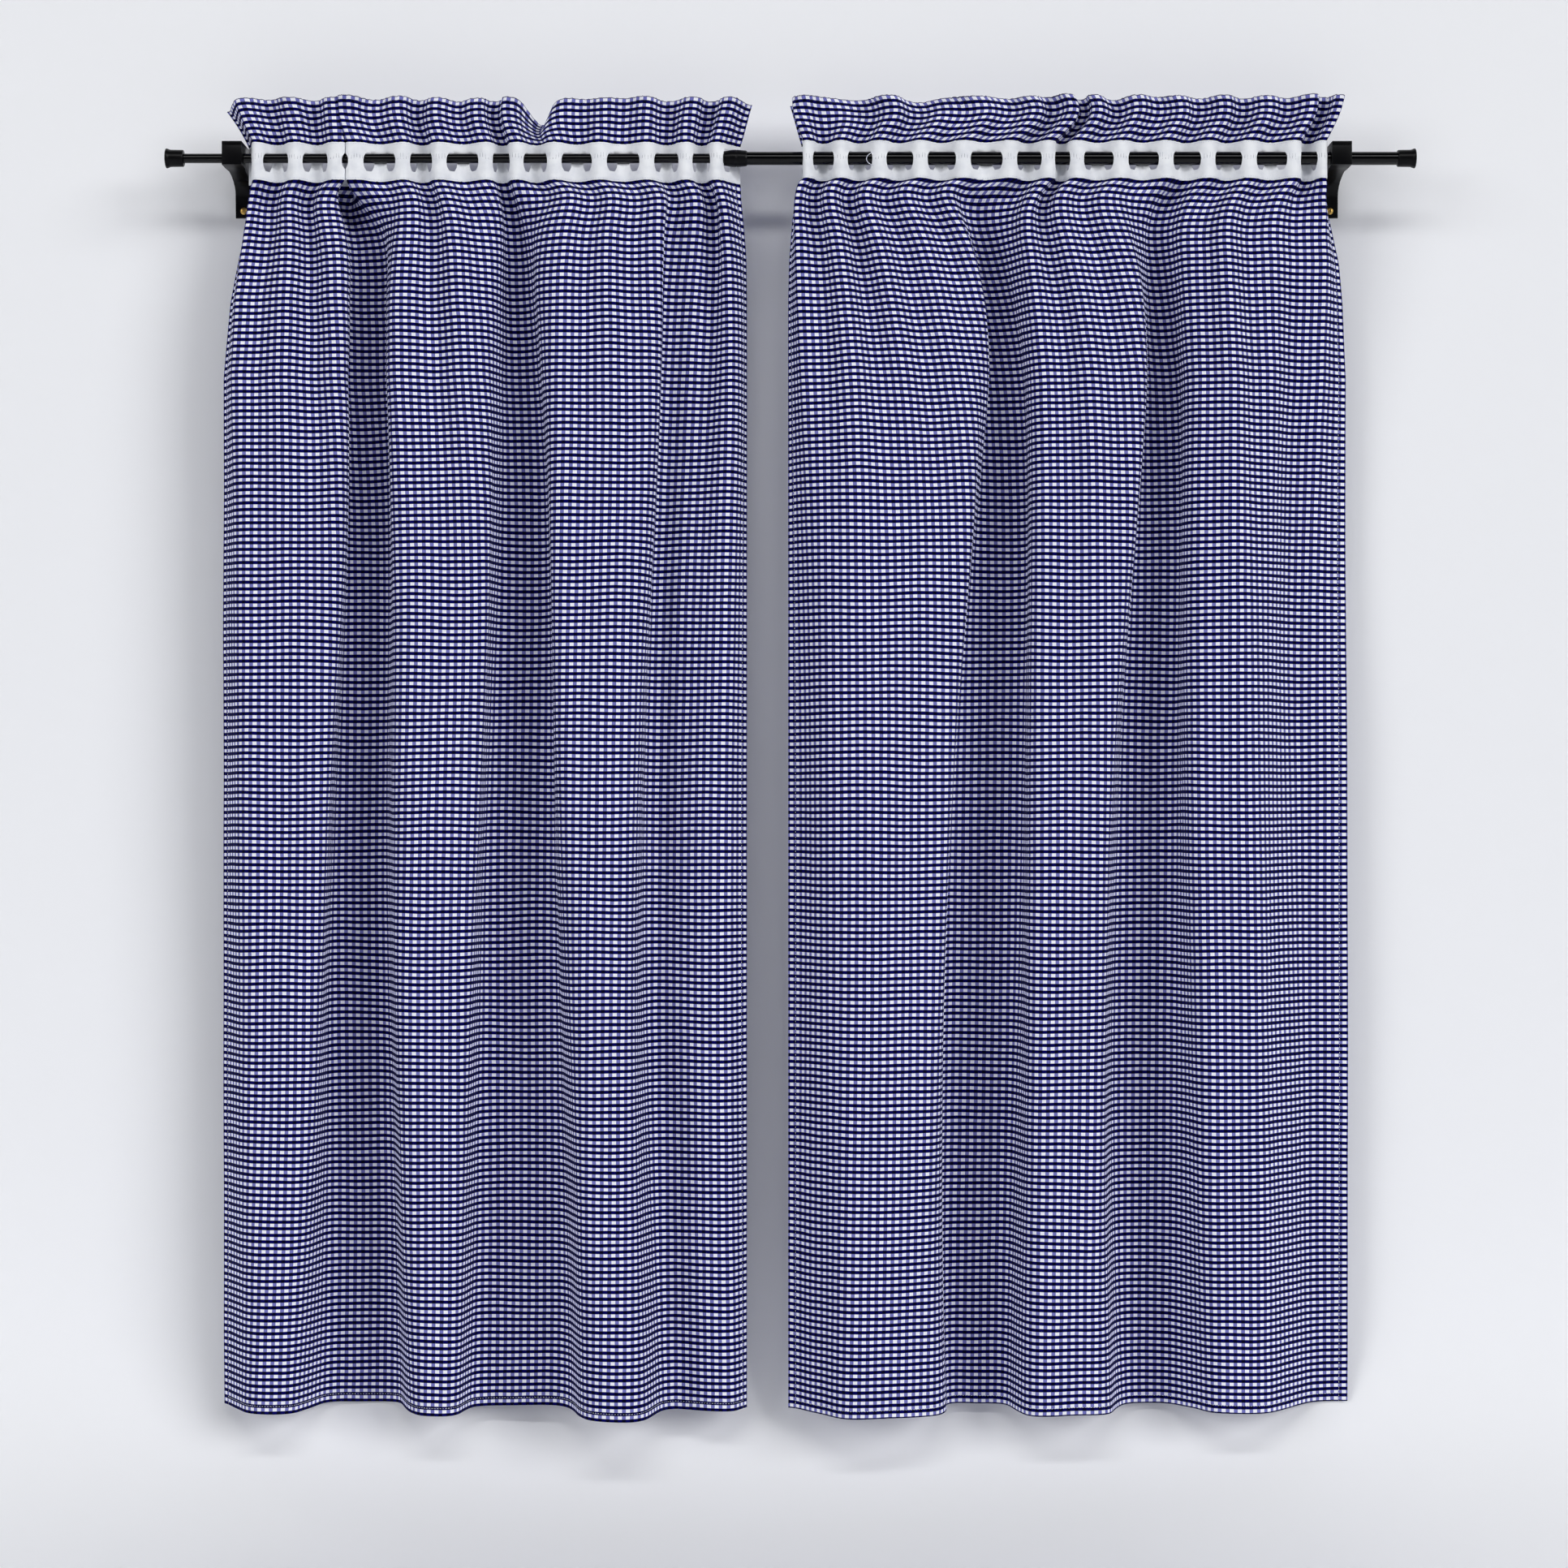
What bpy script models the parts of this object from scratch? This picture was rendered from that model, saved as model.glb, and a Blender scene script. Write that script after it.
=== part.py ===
"""A pair of gingham cafe curtains on an extending rod between two wall brackets.

Metres, +Z up, +X to the right as one faces the wall, the room at -Y. The origin lies on the wall,
midway between the brackets and level with the rod's axis.

Each curtain is three cloth pieces: a tall panel, a white tape of loops that goes in front of the
rod and behind it by turns, and a short frill that stands above the tape. All three share one plan
curve, which is worked out from the angle of the cloth at each place across its flat width.
"""

import math
from typing import NamedTuple

import bmesh
import bpy
import numpy as np

COLLECTION_NAME = "Cafe curtain"
CUTTER_COLLECTION_NAME = "Cutters"

# Clearances
GAP = 0.0003
MERGE_DISTANCE = 0.00001
CLOTH_THICKNESS = 0.0012

# The rod, which slides out of itself, with a collar where the thin tube enters the thick one
ROD_OUT = 0.078
ROD_LEFT_END = -0.7575
ROD_RIGHT_END = 0.7665
INNER_RADIUS = 0.00575
OUTER_RADIUS = 0.008
ROUND_STEPS = 24
SHARP_ANGLE = 35
COLLAR_LEFT = -0.077
COLLAR_RIGHT = -0.0485
COLLAR_END_RADIUS = 0.0088
COLLAR_MID_RADIUS = 0.0104
COLLAR_MID = 0.55
COLLAR_EDGE = 0.0008
COLLAR_ROOM = 0.006
CAP_LENGTH = 0.0225
CAP_WALL = 0.004
CAP_NECK_RADIUS = 0.0102
CAP_FLARE_RADIUS = 0.012
CAP_FLARE_LENGTH = 0.007
CAP_EDGE = 0.0008

# The wall brackets
BRACKET_X = 0.6745
BLOCK_WIDTH = 0.024
BLOCK_FRONT = 0.014
BLOCK_BACK = 0.012
BLOCK_TOP = 0.0185
BLOCK_BOTTOM = -0.010
GROOVE_TOP = 0.0145
GROOVE_HEIGHT = 0.001
GROOVE_DEPTH = 0.0008
PLATE_THICKNESS = 0.004
PLATE_BOTTOM = -0.0595
FOOT_WIDTH = 0.020
GUSSET_END = -0.034
GUSSET_STEPS = 6
SCREW_DROP = 0.051
SCREW_HEAD_RADIUS = 0.0045
SCREW_HEAD_HEIGHT = 0.0022
SCREW_SHANK_RADIUS = 0.002
SCREW_SLOT_LENGTH = 0.0056
SCREW_SLOT_WIDTH = 0.0011
SCREW_SLOT_DEPTH = 0.0010

# The screw's domed head: (share of its height, share of its radius)
SCREW_DOME = ((0.0, 1.0), (0.4, 0.93), (0.8, 0.66), (1.0, 0.28))

# One curtain, as it is cut
CURTAIN_WIDTH = 0.950
HEM_DROP = 1.526
FRILL_HEIGHT = 0.055
LAP = 0.004

# The tape of loops, as it is woven: front straps, with a back strap midway between each pair
STRAP_COUNT = 14
STRAP_PITCH = 0.0665
FRONT_STRAP = 0.020
BACK_STRAP = 0.019
STRAP_MARGIN = (CURTAIN_WIDTH - (STRAP_COUNT - 1) * STRAP_PITCH) / 2
TAPE_BAND = 0.0115
WINDOW_HEIGHT = 0.0225
ROD_REST = 0.0004
STRAP_REST = 0.0011
STRAP_FLAT_SHARE = 0.55
CREST_OUT = 0.0108

# Rows of the tape's grid, counted from its top edge: those that the straps bow round the rod,
# with the share of the rod's clear radius that each keeps, and those that the windows open
STRAP_BOW_ROWS = ((2, 0.66), (3, 1.0), (4, 1.0))
WINDOW_ROWS = (2, 3, 4)

# How square the wave of the cloth is: low is a sine, high is a square pleat
SOFT_WAVE = 0.8
SQUARE_WAVE = 4.0
STEEPEST_WAVE = 2.1
WAVE_SAMPLES = 241

# How deep below the rod the loops' waves fade out and the long folds take over
WAVE_FADE = 0.20
FOLD_GROWTH = 0.20
FOLD_DRIFT_POWER = 1.5
FLANK_POWER = 4
BALANCE_DROP = 0.5

# The plan curve is summed in steps this long, and its folds are made steeper or flatter, between
# these shares, until its edges hang where the sections say
FLAT_STEP = 0.0005
FLATTEST_FOLDS = 0.2
STEEPEST_FOLDS = 1.8
HALVINGS = 40

# Drops below the rod at which the panel's rows lie, under its lap behind the tape
PANEL_DROPS = (0.045, 0.078, 0.120, 0.180, 0.270, 0.400, 0.600, 0.860, 1.150, HEM_DROP)
FRILL_ROWS = 3
FLARE_POWER = 4
LEAN_POWER = 2


class Section(NamedTuple):
    """Where a curtain's two side edges hang, at a drop below the rod."""

    drop: float
    left: float
    right: float


class Flank(NamedTuple):
    """One slope of a long fold, by its flat place and its turn in degrees; plus comes forward."""

    top: float
    hem: float
    half: float
    turn_top: float
    turn_hem: float


class Lean(NamedTuple):
    """A stretch of the frill whose top edge leans back towards the wall, or forward if minus."""

    at: float
    half: float
    back: float


class Curtain(NamedTuple):
    """One curtain of the pair, as it hangs."""

    side: str
    rod_radius: float
    first_strap: float
    gaps: tuple
    pleat: int
    sections: tuple
    flanks: tuple
    leans: tuple
    flare_left: float
    flare_right: float


# Each gap is from the middle of a front strap to the next that shows. The pleat is a gap that
# holds one more strap, drawn back behind the rod.
CURTAINS = (
    Curtain(
        side="left",
        rod_radius=INNER_RADIUS,
        first_strap=-0.646,
        gaps=(0.048, 0.048, 0.026, 0.057, 0.044, 0.057, 0.037, 0.046, 0.055, 0.058, 0.047, 0.038),
        pleat=2,
        sections=(
            Section(0.000, -0.660, -0.057),
            Section(0.045, -0.660, -0.056),
            Section(0.075, -0.665, -0.053),
            Section(0.115, -0.673, -0.050),
            Section(0.172, -0.683, -0.0495),
            Section(0.265, -0.691, -0.0495),
            Section(HEM_DROP, -0.693, -0.0495),
        ),
        flanks=(
            Flank(top=0.020, hem=0.035, half=0.048, turn_top=60, turn_hem=56),
            Flank(top=0.228, hem=0.178, half=0.044, turn_top=-86, turn_hem=-60),
            Flank(top=0.306, hem=0.298, half=0.050, turn_top=58, turn_hem=66),
            Flank(top=0.512, hem=0.446, half=0.036, turn_top=-58, turn_hem=-66),
            Flank(top=0.628, hem=0.605, half=0.058, turn_top=48, turn_hem=64),
            Flank(top=0.775, hem=0.765, half=0.046, turn_top=-58, turn_hem=-67),
            Flank(top=0.860, hem=0.860, half=0.045, turn_top=14, turn_hem=18),
            Flank(top=0.935, hem=0.940, half=0.026, turn_top=-40, turn_hem=-56),
        ),
        leans=(
            Lean(at=0.000, half=0.030, back=-0.010),
            Lean(at=0.140, half=0.030, back=0.004),
            Lean(at=0.330, half=0.050, back=-0.006),
            Lean(at=0.480, half=0.022, back=0.007),
            Lean(at=0.608, half=0.024, back=0.040),
            Lean(at=0.674, half=0.020, back=0.006),
            Lean(at=0.875, half=0.022, back=0.005),
        ),
        flare_left=-0.025,
        flare_right=0.016,
    ),
    Curtain(
        side="right",
        rod_radius=OUTER_RADIUS,
        first_strap=0.0235,
        gaps=(0.042, 0.047, 0.050, 0.052, 0.057, 0.047, 0.034, 0.054, 0.055, 0.051, 0.050, 0.055,
              0.036),
        pleat=-1,
        sections=(
            Section(0.000, 0.0185, 0.6595),
            Section(0.045, 0.0125, 0.6595),
            Section(0.070, 0.007, 0.668),
            Section(0.123, 0.003, 0.680),
            Section(0.172, 0.002, 0.685),
            Section(0.265, 0.002, 0.690),
            Section(HEM_DROP, 0.002, 0.6935),
        ),
        flanks=(
            Flank(top=0.040, hem=0.050, half=0.052, turn_top=42, turn_hem=44),
            Flank(top=0.170, hem=0.170, half=0.040, turn_top=-8, turn_hem=-14),
            Flank(top=0.260, hem=0.254, half=0.042, turn_top=-82, turn_hem=-70),
            Flank(top=0.428, hem=0.402, half=0.044, turn_top=82, turn_hem=64),
            Flank(top=0.592, hem=0.570, half=0.050, turn_top=-45, turn_hem=-58),
            Flank(top=0.680, hem=0.708, half=0.044, turn_top=45, turn_hem=48),
            Flank(top=0.810, hem=0.884, half=0.056, turn_top=-30, turn_hem=-42),
        ),
        leans=(
            Lean(at=0.225, half=0.024, back=0.008),
            Lean(at=0.345, half=0.030, back=0.009),
            Lean(at=0.420, half=0.020, back=-0.007),
            Lean(at=0.545, half=0.026, back=0.011),
            Lean(at=0.690, half=0.022, back=0.005),
            Lean(at=0.750, half=0.022, back=0.006),
            Lean(at=0.900, half=0.030, back=-0.006),
        ),
        flare_left=-0.014,
        flare_right=0.016,
    ),
)

# Colours, sRGB hex
GINGHAM_NAVY = "#5A5F90"
TAPE_WHITE = "#ECEEF3"
ROD_BLACK = "#0C0C0F"
PLASTIC_BLACK = "#111114"
BRASS = "#B08A4A"


def clear_scene():
    """Remove whatever the file holds."""
    for item in list(bpy.data.objects):
        bpy.data.objects.remove(item, do_unlink=True)


def new_collection(name):
    """Make a collection under the scene's own."""
    made = bpy.data.collections.new(name)
    bpy.context.scene.collection.children.link(made)
    return made


def linear(channel):
    """One sRGB channel, 0 to 1, as linear light."""
    if channel <= 0.04045:
        return channel / 12.92
    return ((channel + 0.055) / 1.055) ** 2.4


def make_material(name, hex_colour, roughness, metallic=0.0):
    """A plain Principled material."""
    material = bpy.data.materials.new(name)
    material.use_nodes = True
    shader = material.node_tree.nodes["Principled BSDF"]
    channels = [int(hex_colour[i:i + 2], 16) / 255 for i in (1, 3, 5)]
    shader.inputs["Base Color"].default_value = [linear(c) for c in channels] + [1.0]
    shader.inputs["Roughness"].default_value = roughness
    shader.inputs["Metallic"].default_value = metallic
    return material


def add_object(name, mesh, collection, material=None):
    """Put a mesh into the scene under a name."""
    item = bpy.data.objects.new(name, mesh)
    collection.objects.link(item)
    if material is not None:
        mesh.materials.append(material)
    return item


# The plan curve of the cloth


def strap_places(curtain):
    """Flat place and X of the middle of each front strap that shows."""
    flat = STRAP_MARGIN
    across = curtain.first_strap
    places = [(flat, across)]
    for index, gap in enumerate(curtain.gaps):
        flat += STRAP_PITCH * (2 if index == curtain.pleat else 1)
        across += gap
        places.append((flat, across))
    return places


def wave_shape(phase, squareness):
    """A wave from -1 to 1 that goes back after each strap and comes forward to the next."""
    return -np.tanh(squareness * np.sin(phase)) / math.tanh(squareness)


def solve_rising(low, high, too_small):
    """The value between low and high where too_small changes from true to false."""
    for _ in range(HALVINGS):
        middle = (low + high) / 2
        if too_small(middle):
            low = middle
        else:
            high = middle
    return (low + high) / 2


def wave_cells(curtain):
    """Rows of start, end, width as hung and squareness, one for each wave along the tape."""
    places = strap_places(curtain)
    edges = curtain.sections[0]
    first, last = places[0], places[-1]
    reach_left = 2 * (first[1] - edges.left)
    reach_right = 2 * (edges.right - last[1])
    cells = [(-first[0], first[0], reach_left, SQUARE_WAVE)]
    for index, (start, end) in enumerate(zip(places[:-1], places[1:])):
        squareness = SQUARE_WAVE if index == curtain.pleat else SOFT_WAVE
        cells.append((start[0], end[0], end[1] - start[1], squareness))
    cells.append((last[0], 2 * CURTAIN_WIDTH - last[0], reach_right, SQUARE_WAVE))
    return cells


def steepest_turn(shape, wanted):
    """How far a wave's steepest part turns for its width as hung to be a share of its length."""
    return solve_rising(0.0, STEEPEST_WAVE, lambda turn: np.cos(turn * shape).mean() > wanted)


def wave_turns(curtain, flat):
    """Angle of the cloth along the tape, in radians, at each flat place."""
    turns = np.zeros_like(flat)
    ring = np.linspace(0.0, 2 * math.pi, WAVE_SAMPLES)
    for start, end, width, squareness in wave_cells(curtain):
        steepest = steepest_turn(wave_shape(ring, squareness), width / (end - start))
        inside = (flat >= start) & (flat <= end)
        phase = 2 * math.pi * (flat[inside] - start) / (end - start)
        turns[inside] = steepest * wave_shape(phase, squareness)
    return turns


def fold_turns(curtain, flat, drop):
    """Angle of the long folds, in radians, at each flat place and one drop below the rod."""
    drift = (drop / HEM_DROP) ** FOLD_DRIFT_POWER
    turns = np.zeros_like(flat)
    for flank in curtain.flanks:
        place = flank.top + (flank.hem - flank.top) * drift
        turn = flank.turn_top + (flank.turn_hem - flank.turn_top) * drift
        turns += math.radians(turn) * np.exp(-((flat - place) / flank.half) ** FLANK_POWER)
    return turns


def side_edges(curtain, drop):
    """X of the left and right edges at a drop below the rod."""
    drops = [row.drop for row in curtain.sections]
    left = np.interp(drop, drops, [row.left for row in curtain.sections])
    right = np.interp(drop, drops, [row.right for row in curtain.sections])
    return float(left), float(right)


def tape_bottom(curtain):
    """Height of the tape's lower edge."""
    return curtain.rod_radius + ROD_REST - WINDOW_HEIGHT - TAPE_BAND


def run_sum(values):
    """Running integral over the flat steps."""
    middles = (values[1:] + values[:-1]) / 2
    return np.concatenate(([0.0], np.cumsum(middles) * FLAT_STEP))


def plan_curve(curtain, drop):
    """Flat places with the X and Y of the cloth at a drop below the rod."""
    flat = np.linspace(0.0, CURTAIN_WIDTH, round(CURTAIN_WIDTH / FLAT_STEP) + 1)
    start = -tape_bottom(curtain)
    below = max(drop - start, 0.0)
    waves = wave_turns(curtain, flat)
    turns = waves * math.exp(-below / WAVE_FADE)
    turns += fold_turns(curtain, flat, drop) * (1 - math.exp(-below / FOLD_GROWTH))
    left, right = side_edges(curtain, drop if below > 0 else 0.0)
    wanted = (right - left) / CURTAIN_WIDTH
    strength = solve_rising(FLATTEST_FOLDS, STEEPEST_FOLDS,
                            lambda share: np.cos(share * turns).mean() > wanted)
    across = left + run_sum(np.cos(strength * turns))
    back = -run_sum(np.sin(strength * turns))
    back_at_tape = -run_sum(np.sin(waves))
    first_crest = np.interp(STRAP_MARGIN, flat, back_at_tape)
    behind_rod = back_at_tape.mean() - first_crest - CREST_OUT
    hang = behind_rod * max(1 - below / BALANCE_DROP, 0.0)
    return flat, across, back - back.mean() + hang - ROD_OUT


def flat_columns():
    """Flat places of the side edges of every strap, front and back, from edge to edge."""
    places = [0.0, STRAP_MARGIN - STRAP_PITCH / 2 + BACK_STRAP / 2]
    for index in range(STRAP_COUNT):
        front = STRAP_MARGIN + index * STRAP_PITCH
        back = front + STRAP_PITCH / 2
        places += [front - FRONT_STRAP / 2, front + FRONT_STRAP / 2]
        places += [back - BACK_STRAP / 2, back + BACK_STRAP / 2]
    places[-1] = CURTAIN_WIDTH
    return places


def plan_points(curtain, drop):
    """X and Y of each column at a drop below the rod, as an array of pairs."""
    flat, across, back = plan_curve(curtain, drop)
    columns = flat_columns()
    return np.column_stack((np.interp(columns, flat, across), np.interp(columns, flat, back)))


def forward_offset(points, distance):
    """The same run of points moved square to itself, towards the room."""
    runs = np.diff(points, axis=0)
    runs /= np.linalg.norm(runs, axis=1)[:, None]
    faces = np.column_stack((runs[:, 1], -runs[:, 0]))
    before = np.vstack((faces[:1], faces))
    after = np.vstack((faces, faces[-1:]))
    overlap = (before * after).sum(axis=1)[:, None]
    return points + distance * (before + after) / (1 + overlap)


# Cloth sheets


def cloth_sheet(name, grid, collection, material, missing=()):
    """A sheet through a grid of points, rows by columns, with its thickness on both sides."""
    rows, columns = grid.shape[:2]
    mesh = bpy.data.meshes.new(name)
    shape = bmesh.new()
    bmesh.ops.create_grid(shape, x_segments=columns - 1, y_segments=rows - 1, size=0.5)
    shape.verts.ensure_lookup_table()
    for index, vertex in enumerate(shape.verts):
        vertex.co = grid[index // columns, index % columns]
    shape.faces.ensure_lookup_table()
    gone = [shape.faces[row * (columns - 1) + column] for row, column in missing]
    bmesh.ops.delete(shape, geom=gone, context="FACES")
    bmesh.ops.recalc_face_normals(shape, faces=shape.faces)
    shape.to_mesh(mesh)
    shape.free()
    item = add_object(name, mesh, collection, material)
    thickness = item.modifiers.new("Thickness", "SOLIDIFY")
    thickness.thickness = CLOTH_THICKNESS
    thickness.offset = 0.0
    thickness.use_even_offset = True
    return item


def level_row(points, height):
    """A row of a grid: plan points at one height."""
    return np.column_stack((points, np.full(len(points), height)))


def build_panel(curtain, collection, material):
    """The tall gingham panel, from its lap behind the tape to the hem."""
    seam = tape_bottom(curtain)
    at_tape = plan_points(curtain, 0.0)
    rows = [level_row(at_tape, seam + LAP), level_row(at_tape, seam - GAP)]
    rows += [level_row(plan_points(curtain, drop), -drop) for drop in PANEL_DROPS]
    return cloth_sheet(f"{curtain.side}_panel", np.array(rows), collection, material)


def lean_back(curtain):
    """How far the frill's top edge leans back at each column."""
    columns = np.array(flat_columns())
    total = np.zeros_like(columns)
    for lean in curtain.leans:
        total += lean.back * np.exp(-((columns - lean.at) / lean.half) ** LEAN_POWER)
    return total


def build_frill(curtain, collection, material):
    """The frill above the tape, flared at both ends and leaning here and there."""
    tape_top = curtain.rod_radius + ROD_REST + TAPE_BAND
    base = plan_points(curtain, 0.0)
    rows = [level_row(base, tape_top - LAP), level_row(base, tape_top + GAP)]
    share = (base[:, 0] - base[0, 0]) / (base[-1, 0] - base[0, 0])
    flare = curtain.flare_left * (1 - share) ** FLARE_POWER
    flare += curtain.flare_right * share ** FLARE_POWER
    lean = lean_back(curtain)
    for index in range(1, FRILL_ROWS + 1):
        part = index / FRILL_ROWS
        row = level_row(base, tape_top)
        row[:, 0] += flare * part
        row[:, 1] += lean * part
        row[:, 2] += np.sqrt((FRILL_HEIGHT * part) ** 2 - (lean * part) ** 2)
        rows.append(row)
    return cloth_sheet(f"{curtain.side}_frill", np.array(rows), collection, material)


def local_rod_radius(curtain, across):
    """Radius of what the tape hangs on at X, the collar and a little room beside it included."""
    if COLLAR_LEFT - COLLAR_ROOM < across < COLLAR_RIGHT + COLLAR_ROOM:
        return COLLAR_MID_RADIUS
    return curtain.rod_radius


def strap_columns(curtain):
    """Rows of first column and facing, -1 front or 1 back, for each strap on the rod."""
    straps = [(0, 1)]
    hidden = curtain.pleat + 1 if curtain.pleat >= 0 else None
    for index in range(STRAP_COUNT):
        if index != hidden:
            straps.append((2 + 4 * index, -1))
        if hidden is None or index not in (hidden - 1, hidden):
            straps.append((4 + 4 * index, 1))
    return straps


def build_tape(curtain, collection, material):
    """The tape of loops, with its windows cut through and its straps round the rod."""
    base = plan_points(curtain, 0.0)
    tape = forward_offset(base, CLOTH_THICKNESS + GAP)
    radii = np.array([local_rod_radius(curtain, x) for x in tape[:, 0]])
    rest = curtain.rod_radius + ROD_REST
    edge = radii + ROD_REST
    half = curtain.rod_radius * STRAP_FLAT_SHARE
    heights = [
        np.full(len(tape), rest + TAPE_BAND),
        np.full(len(tape), rest + TAPE_BAND - LAP - GAP),
        edge,
        np.full(len(tape), half),
        np.full(len(tape), -half),
        np.full(len(tape), rest - WINDOW_HEIGHT),
        np.full(len(tape), rest - WINDOW_HEIGHT - TAPE_BAND),
    ]
    grid = np.array([np.column_stack((tape, height)) for height in heights])
    clear = radii + STRAP_REST
    for first, facing in strap_columns(curtain):
        for column in (first, first + 1):
            for row, least in STRAP_BOW_ROWS:
                out = (grid[row, column, 1] + ROD_OUT) * facing
                grid[row, column, 1] = max(out, least * clear[column]) * facing - ROD_OUT
    windows = [(row, 1 + 2 * window) for row in WINDOW_ROWS for window in range(2 * STRAP_COUNT)]
    return cloth_sheet(f"{curtain.side}_tape", grid, collection, material, windows)


# Turned and cast pieces


def round_bar(name, radius, left, right, collection, material):
    """A round bar along X on the rod's axis."""
    mesh = bpy.data.meshes.new(name)
    shape = bmesh.new()
    bmesh.ops.create_cone(shape, cap_ends=True, segments=ROUND_STEPS, radius1=radius,
                          radius2=radius, depth=right - left)
    shape.to_mesh(mesh)
    shape.free()
    item = add_object(name, mesh, collection, material)
    item.rotation_euler = (0.0, math.pi / 2, 0.0)
    item.location = ((left + right) / 2, -ROD_OUT, 0.0)
    mesh.shade_smooth()
    mesh.set_sharp_from_angle(angle=math.radians(SHARP_ANGLE))
    return item


def turned_piece(name, profile, collection, material):
    """A profile of (along, radius) points turned about the rod's axis.

    Its outer side runs to the right. A profile that leaves the axis ends on it; any other closes.
    """
    mesh = bpy.data.meshes.new(name)
    corners = [(radius, 0.0, -along) for along, radius in profile]
    sides = [(index, index + 1) for index in range(len(corners) - 1)]
    if profile[0][1] > 0.0:
        sides.append((len(corners) - 1, 0))
    mesh.from_pydata(corners, sides, [])
    item = add_object(name, mesh, collection, material)
    item.rotation_euler = (0.0, -math.pi / 2, 0.0)
    item.location = (0.0, -ROD_OUT, 0.0)
    turning = item.modifiers.new("Turning", "SCREW")
    turning.axis = "Z"
    turning.angle = 2 * math.pi
    turning.steps = ROUND_STEPS
    turning.render_steps = ROUND_STEPS
    turning.use_merge_vertices = True
    turning.merge_threshold = MERGE_DISTANCE
    turning.use_smooth_shade = True
    return item


def build_rod(collection, material):
    """The thin tube from the left cap into the collar, and the thick one to the right cap."""
    meet = COLLAR_LEFT + (COLLAR_RIGHT - COLLAR_LEFT) * COLLAR_MID
    round_bar("rod_inner", INNER_RADIUS, ROD_LEFT_END + CAP_WALL + GAP, meet - GAP / 2,
              collection, material)
    round_bar("rod_outer", OUTER_RADIUS, meet + GAP / 2, ROD_RIGHT_END - CAP_WALL - GAP,
              collection, material)


def build_collar(collection, material):
    """The barrel-shaped collar over the joint of the two tubes."""
    middle = COLLAR_LEFT + (COLLAR_RIGHT - COLLAR_LEFT) * COLLAR_MID
    thin_bore = INNER_RADIUS + GAP
    thick_bore = OUTER_RADIUS + GAP
    profile = [
        (COLLAR_LEFT, thin_bore),
        (COLLAR_LEFT, COLLAR_END_RADIUS - COLLAR_EDGE),
        (COLLAR_LEFT + 2 * COLLAR_EDGE, COLLAR_END_RADIUS),
        (middle - 2 * COLLAR_EDGE, COLLAR_MID_RADIUS),
        (middle + 2 * COLLAR_EDGE, COLLAR_MID_RADIUS),
        (COLLAR_RIGHT - COLLAR_EDGE, COLLAR_END_RADIUS + COLLAR_EDGE / 2),
        (COLLAR_RIGHT, COLLAR_END_RADIUS),
        (COLLAR_RIGHT, thick_bore),
        (middle - GAP, thick_bore),
        (middle - GAP, thin_bore),
    ]
    return turned_piece("rod_collar", profile, collection, material)


def build_end_cap(side, end, direction, bore, collection, material):
    """A flared end cap; direction points from the rod's end inwards."""
    def along(depth):
        return end + direction * depth

    profile = [
        (along(0.0), 0.0),
        (along(0.0), CAP_FLARE_RADIUS - CAP_EDGE),
        (along(CAP_EDGE), CAP_FLARE_RADIUS),
        (along(CAP_FLARE_LENGTH), CAP_NECK_RADIUS + CAP_EDGE / 2),
        (along(CAP_LENGTH - CAP_EDGE), CAP_NECK_RADIUS),
        (along(CAP_LENGTH), CAP_NECK_RADIUS - CAP_EDGE),
        (along(CAP_LENGTH), bore + GAP),
        (along(CAP_WALL), bore + GAP),
        (along(CAP_WALL), 0.0),
    ]
    if direction < 0:
        profile.reverse()
    return turned_piece(f"{side}_end_cap", profile, collection, material)


def cutter_object(name, mesh, collection):
    """A shape that only cuts others."""
    item = add_object(name, mesh, collection)
    item.hide_render = True
    item.display_type = "WIRE"
    return item


def cylinder_cutter(name, radius, depth, location, rotation, collection):
    """A round cutter."""
    mesh = bpy.data.meshes.new(name)
    shape = bmesh.new()
    bmesh.ops.create_cone(shape, cap_ends=True, segments=ROUND_STEPS, radius1=radius,
                          radius2=radius, depth=depth)
    shape.to_mesh(mesh)
    shape.free()
    item = cutter_object(name, mesh, collection)
    item.location = location
    item.rotation_euler = rotation
    return item


def box_cutter(name, size, location, collection):
    """A square cutter."""
    mesh = bpy.data.meshes.new(name)
    shape = bmesh.new()
    bmesh.ops.create_cube(shape, size=1.0)
    bmesh.ops.scale(shape, vec=size, verts=shape.verts)
    shape.to_mesh(mesh)
    shape.free()
    item = cutter_object(name, mesh, collection)
    item.location = location
    return item


def cut(item, cutter):
    """Take a cutter's shape out of an object."""
    boolean = item.modifiers.new(f"Cut {cutter.name}", "BOOLEAN")
    boolean.operation = "DIFFERENCE"
    boolean.object = cutter


def bracket_outline():
    """The bracket seen from its side: (back from the rod's axis, height) points."""
    front = -BLOCK_FRONT
    plate = ROD_OUT - PLATE_THICKNESS
    outline = [
        (ROD_OUT, BLOCK_TOP),
        (front, BLOCK_TOP),
        (front, GROOVE_TOP),
        (front + GROOVE_DEPTH, GROOVE_TOP),
        (front + GROOVE_DEPTH, GROOVE_TOP - GROOVE_HEIGHT),
        (front, GROOVE_TOP - GROOVE_HEIGHT),
        (front, BLOCK_BOTTOM),
    ]
    for index in range(GUSSET_STEPS + 1):
        angle = math.pi / 2 * index / GUSSET_STEPS
        across = BLOCK_BACK + (plate - BLOCK_BACK) * math.sin(angle)
        drop = (BLOCK_BOTTOM - GUSSET_END) * (1 - math.cos(angle))
        outline.append((across, BLOCK_BOTTOM - drop))
    outline += [(plate, PLATE_BOTTOM), (ROD_OUT, PLATE_BOTTOM)]
    return outline


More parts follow.
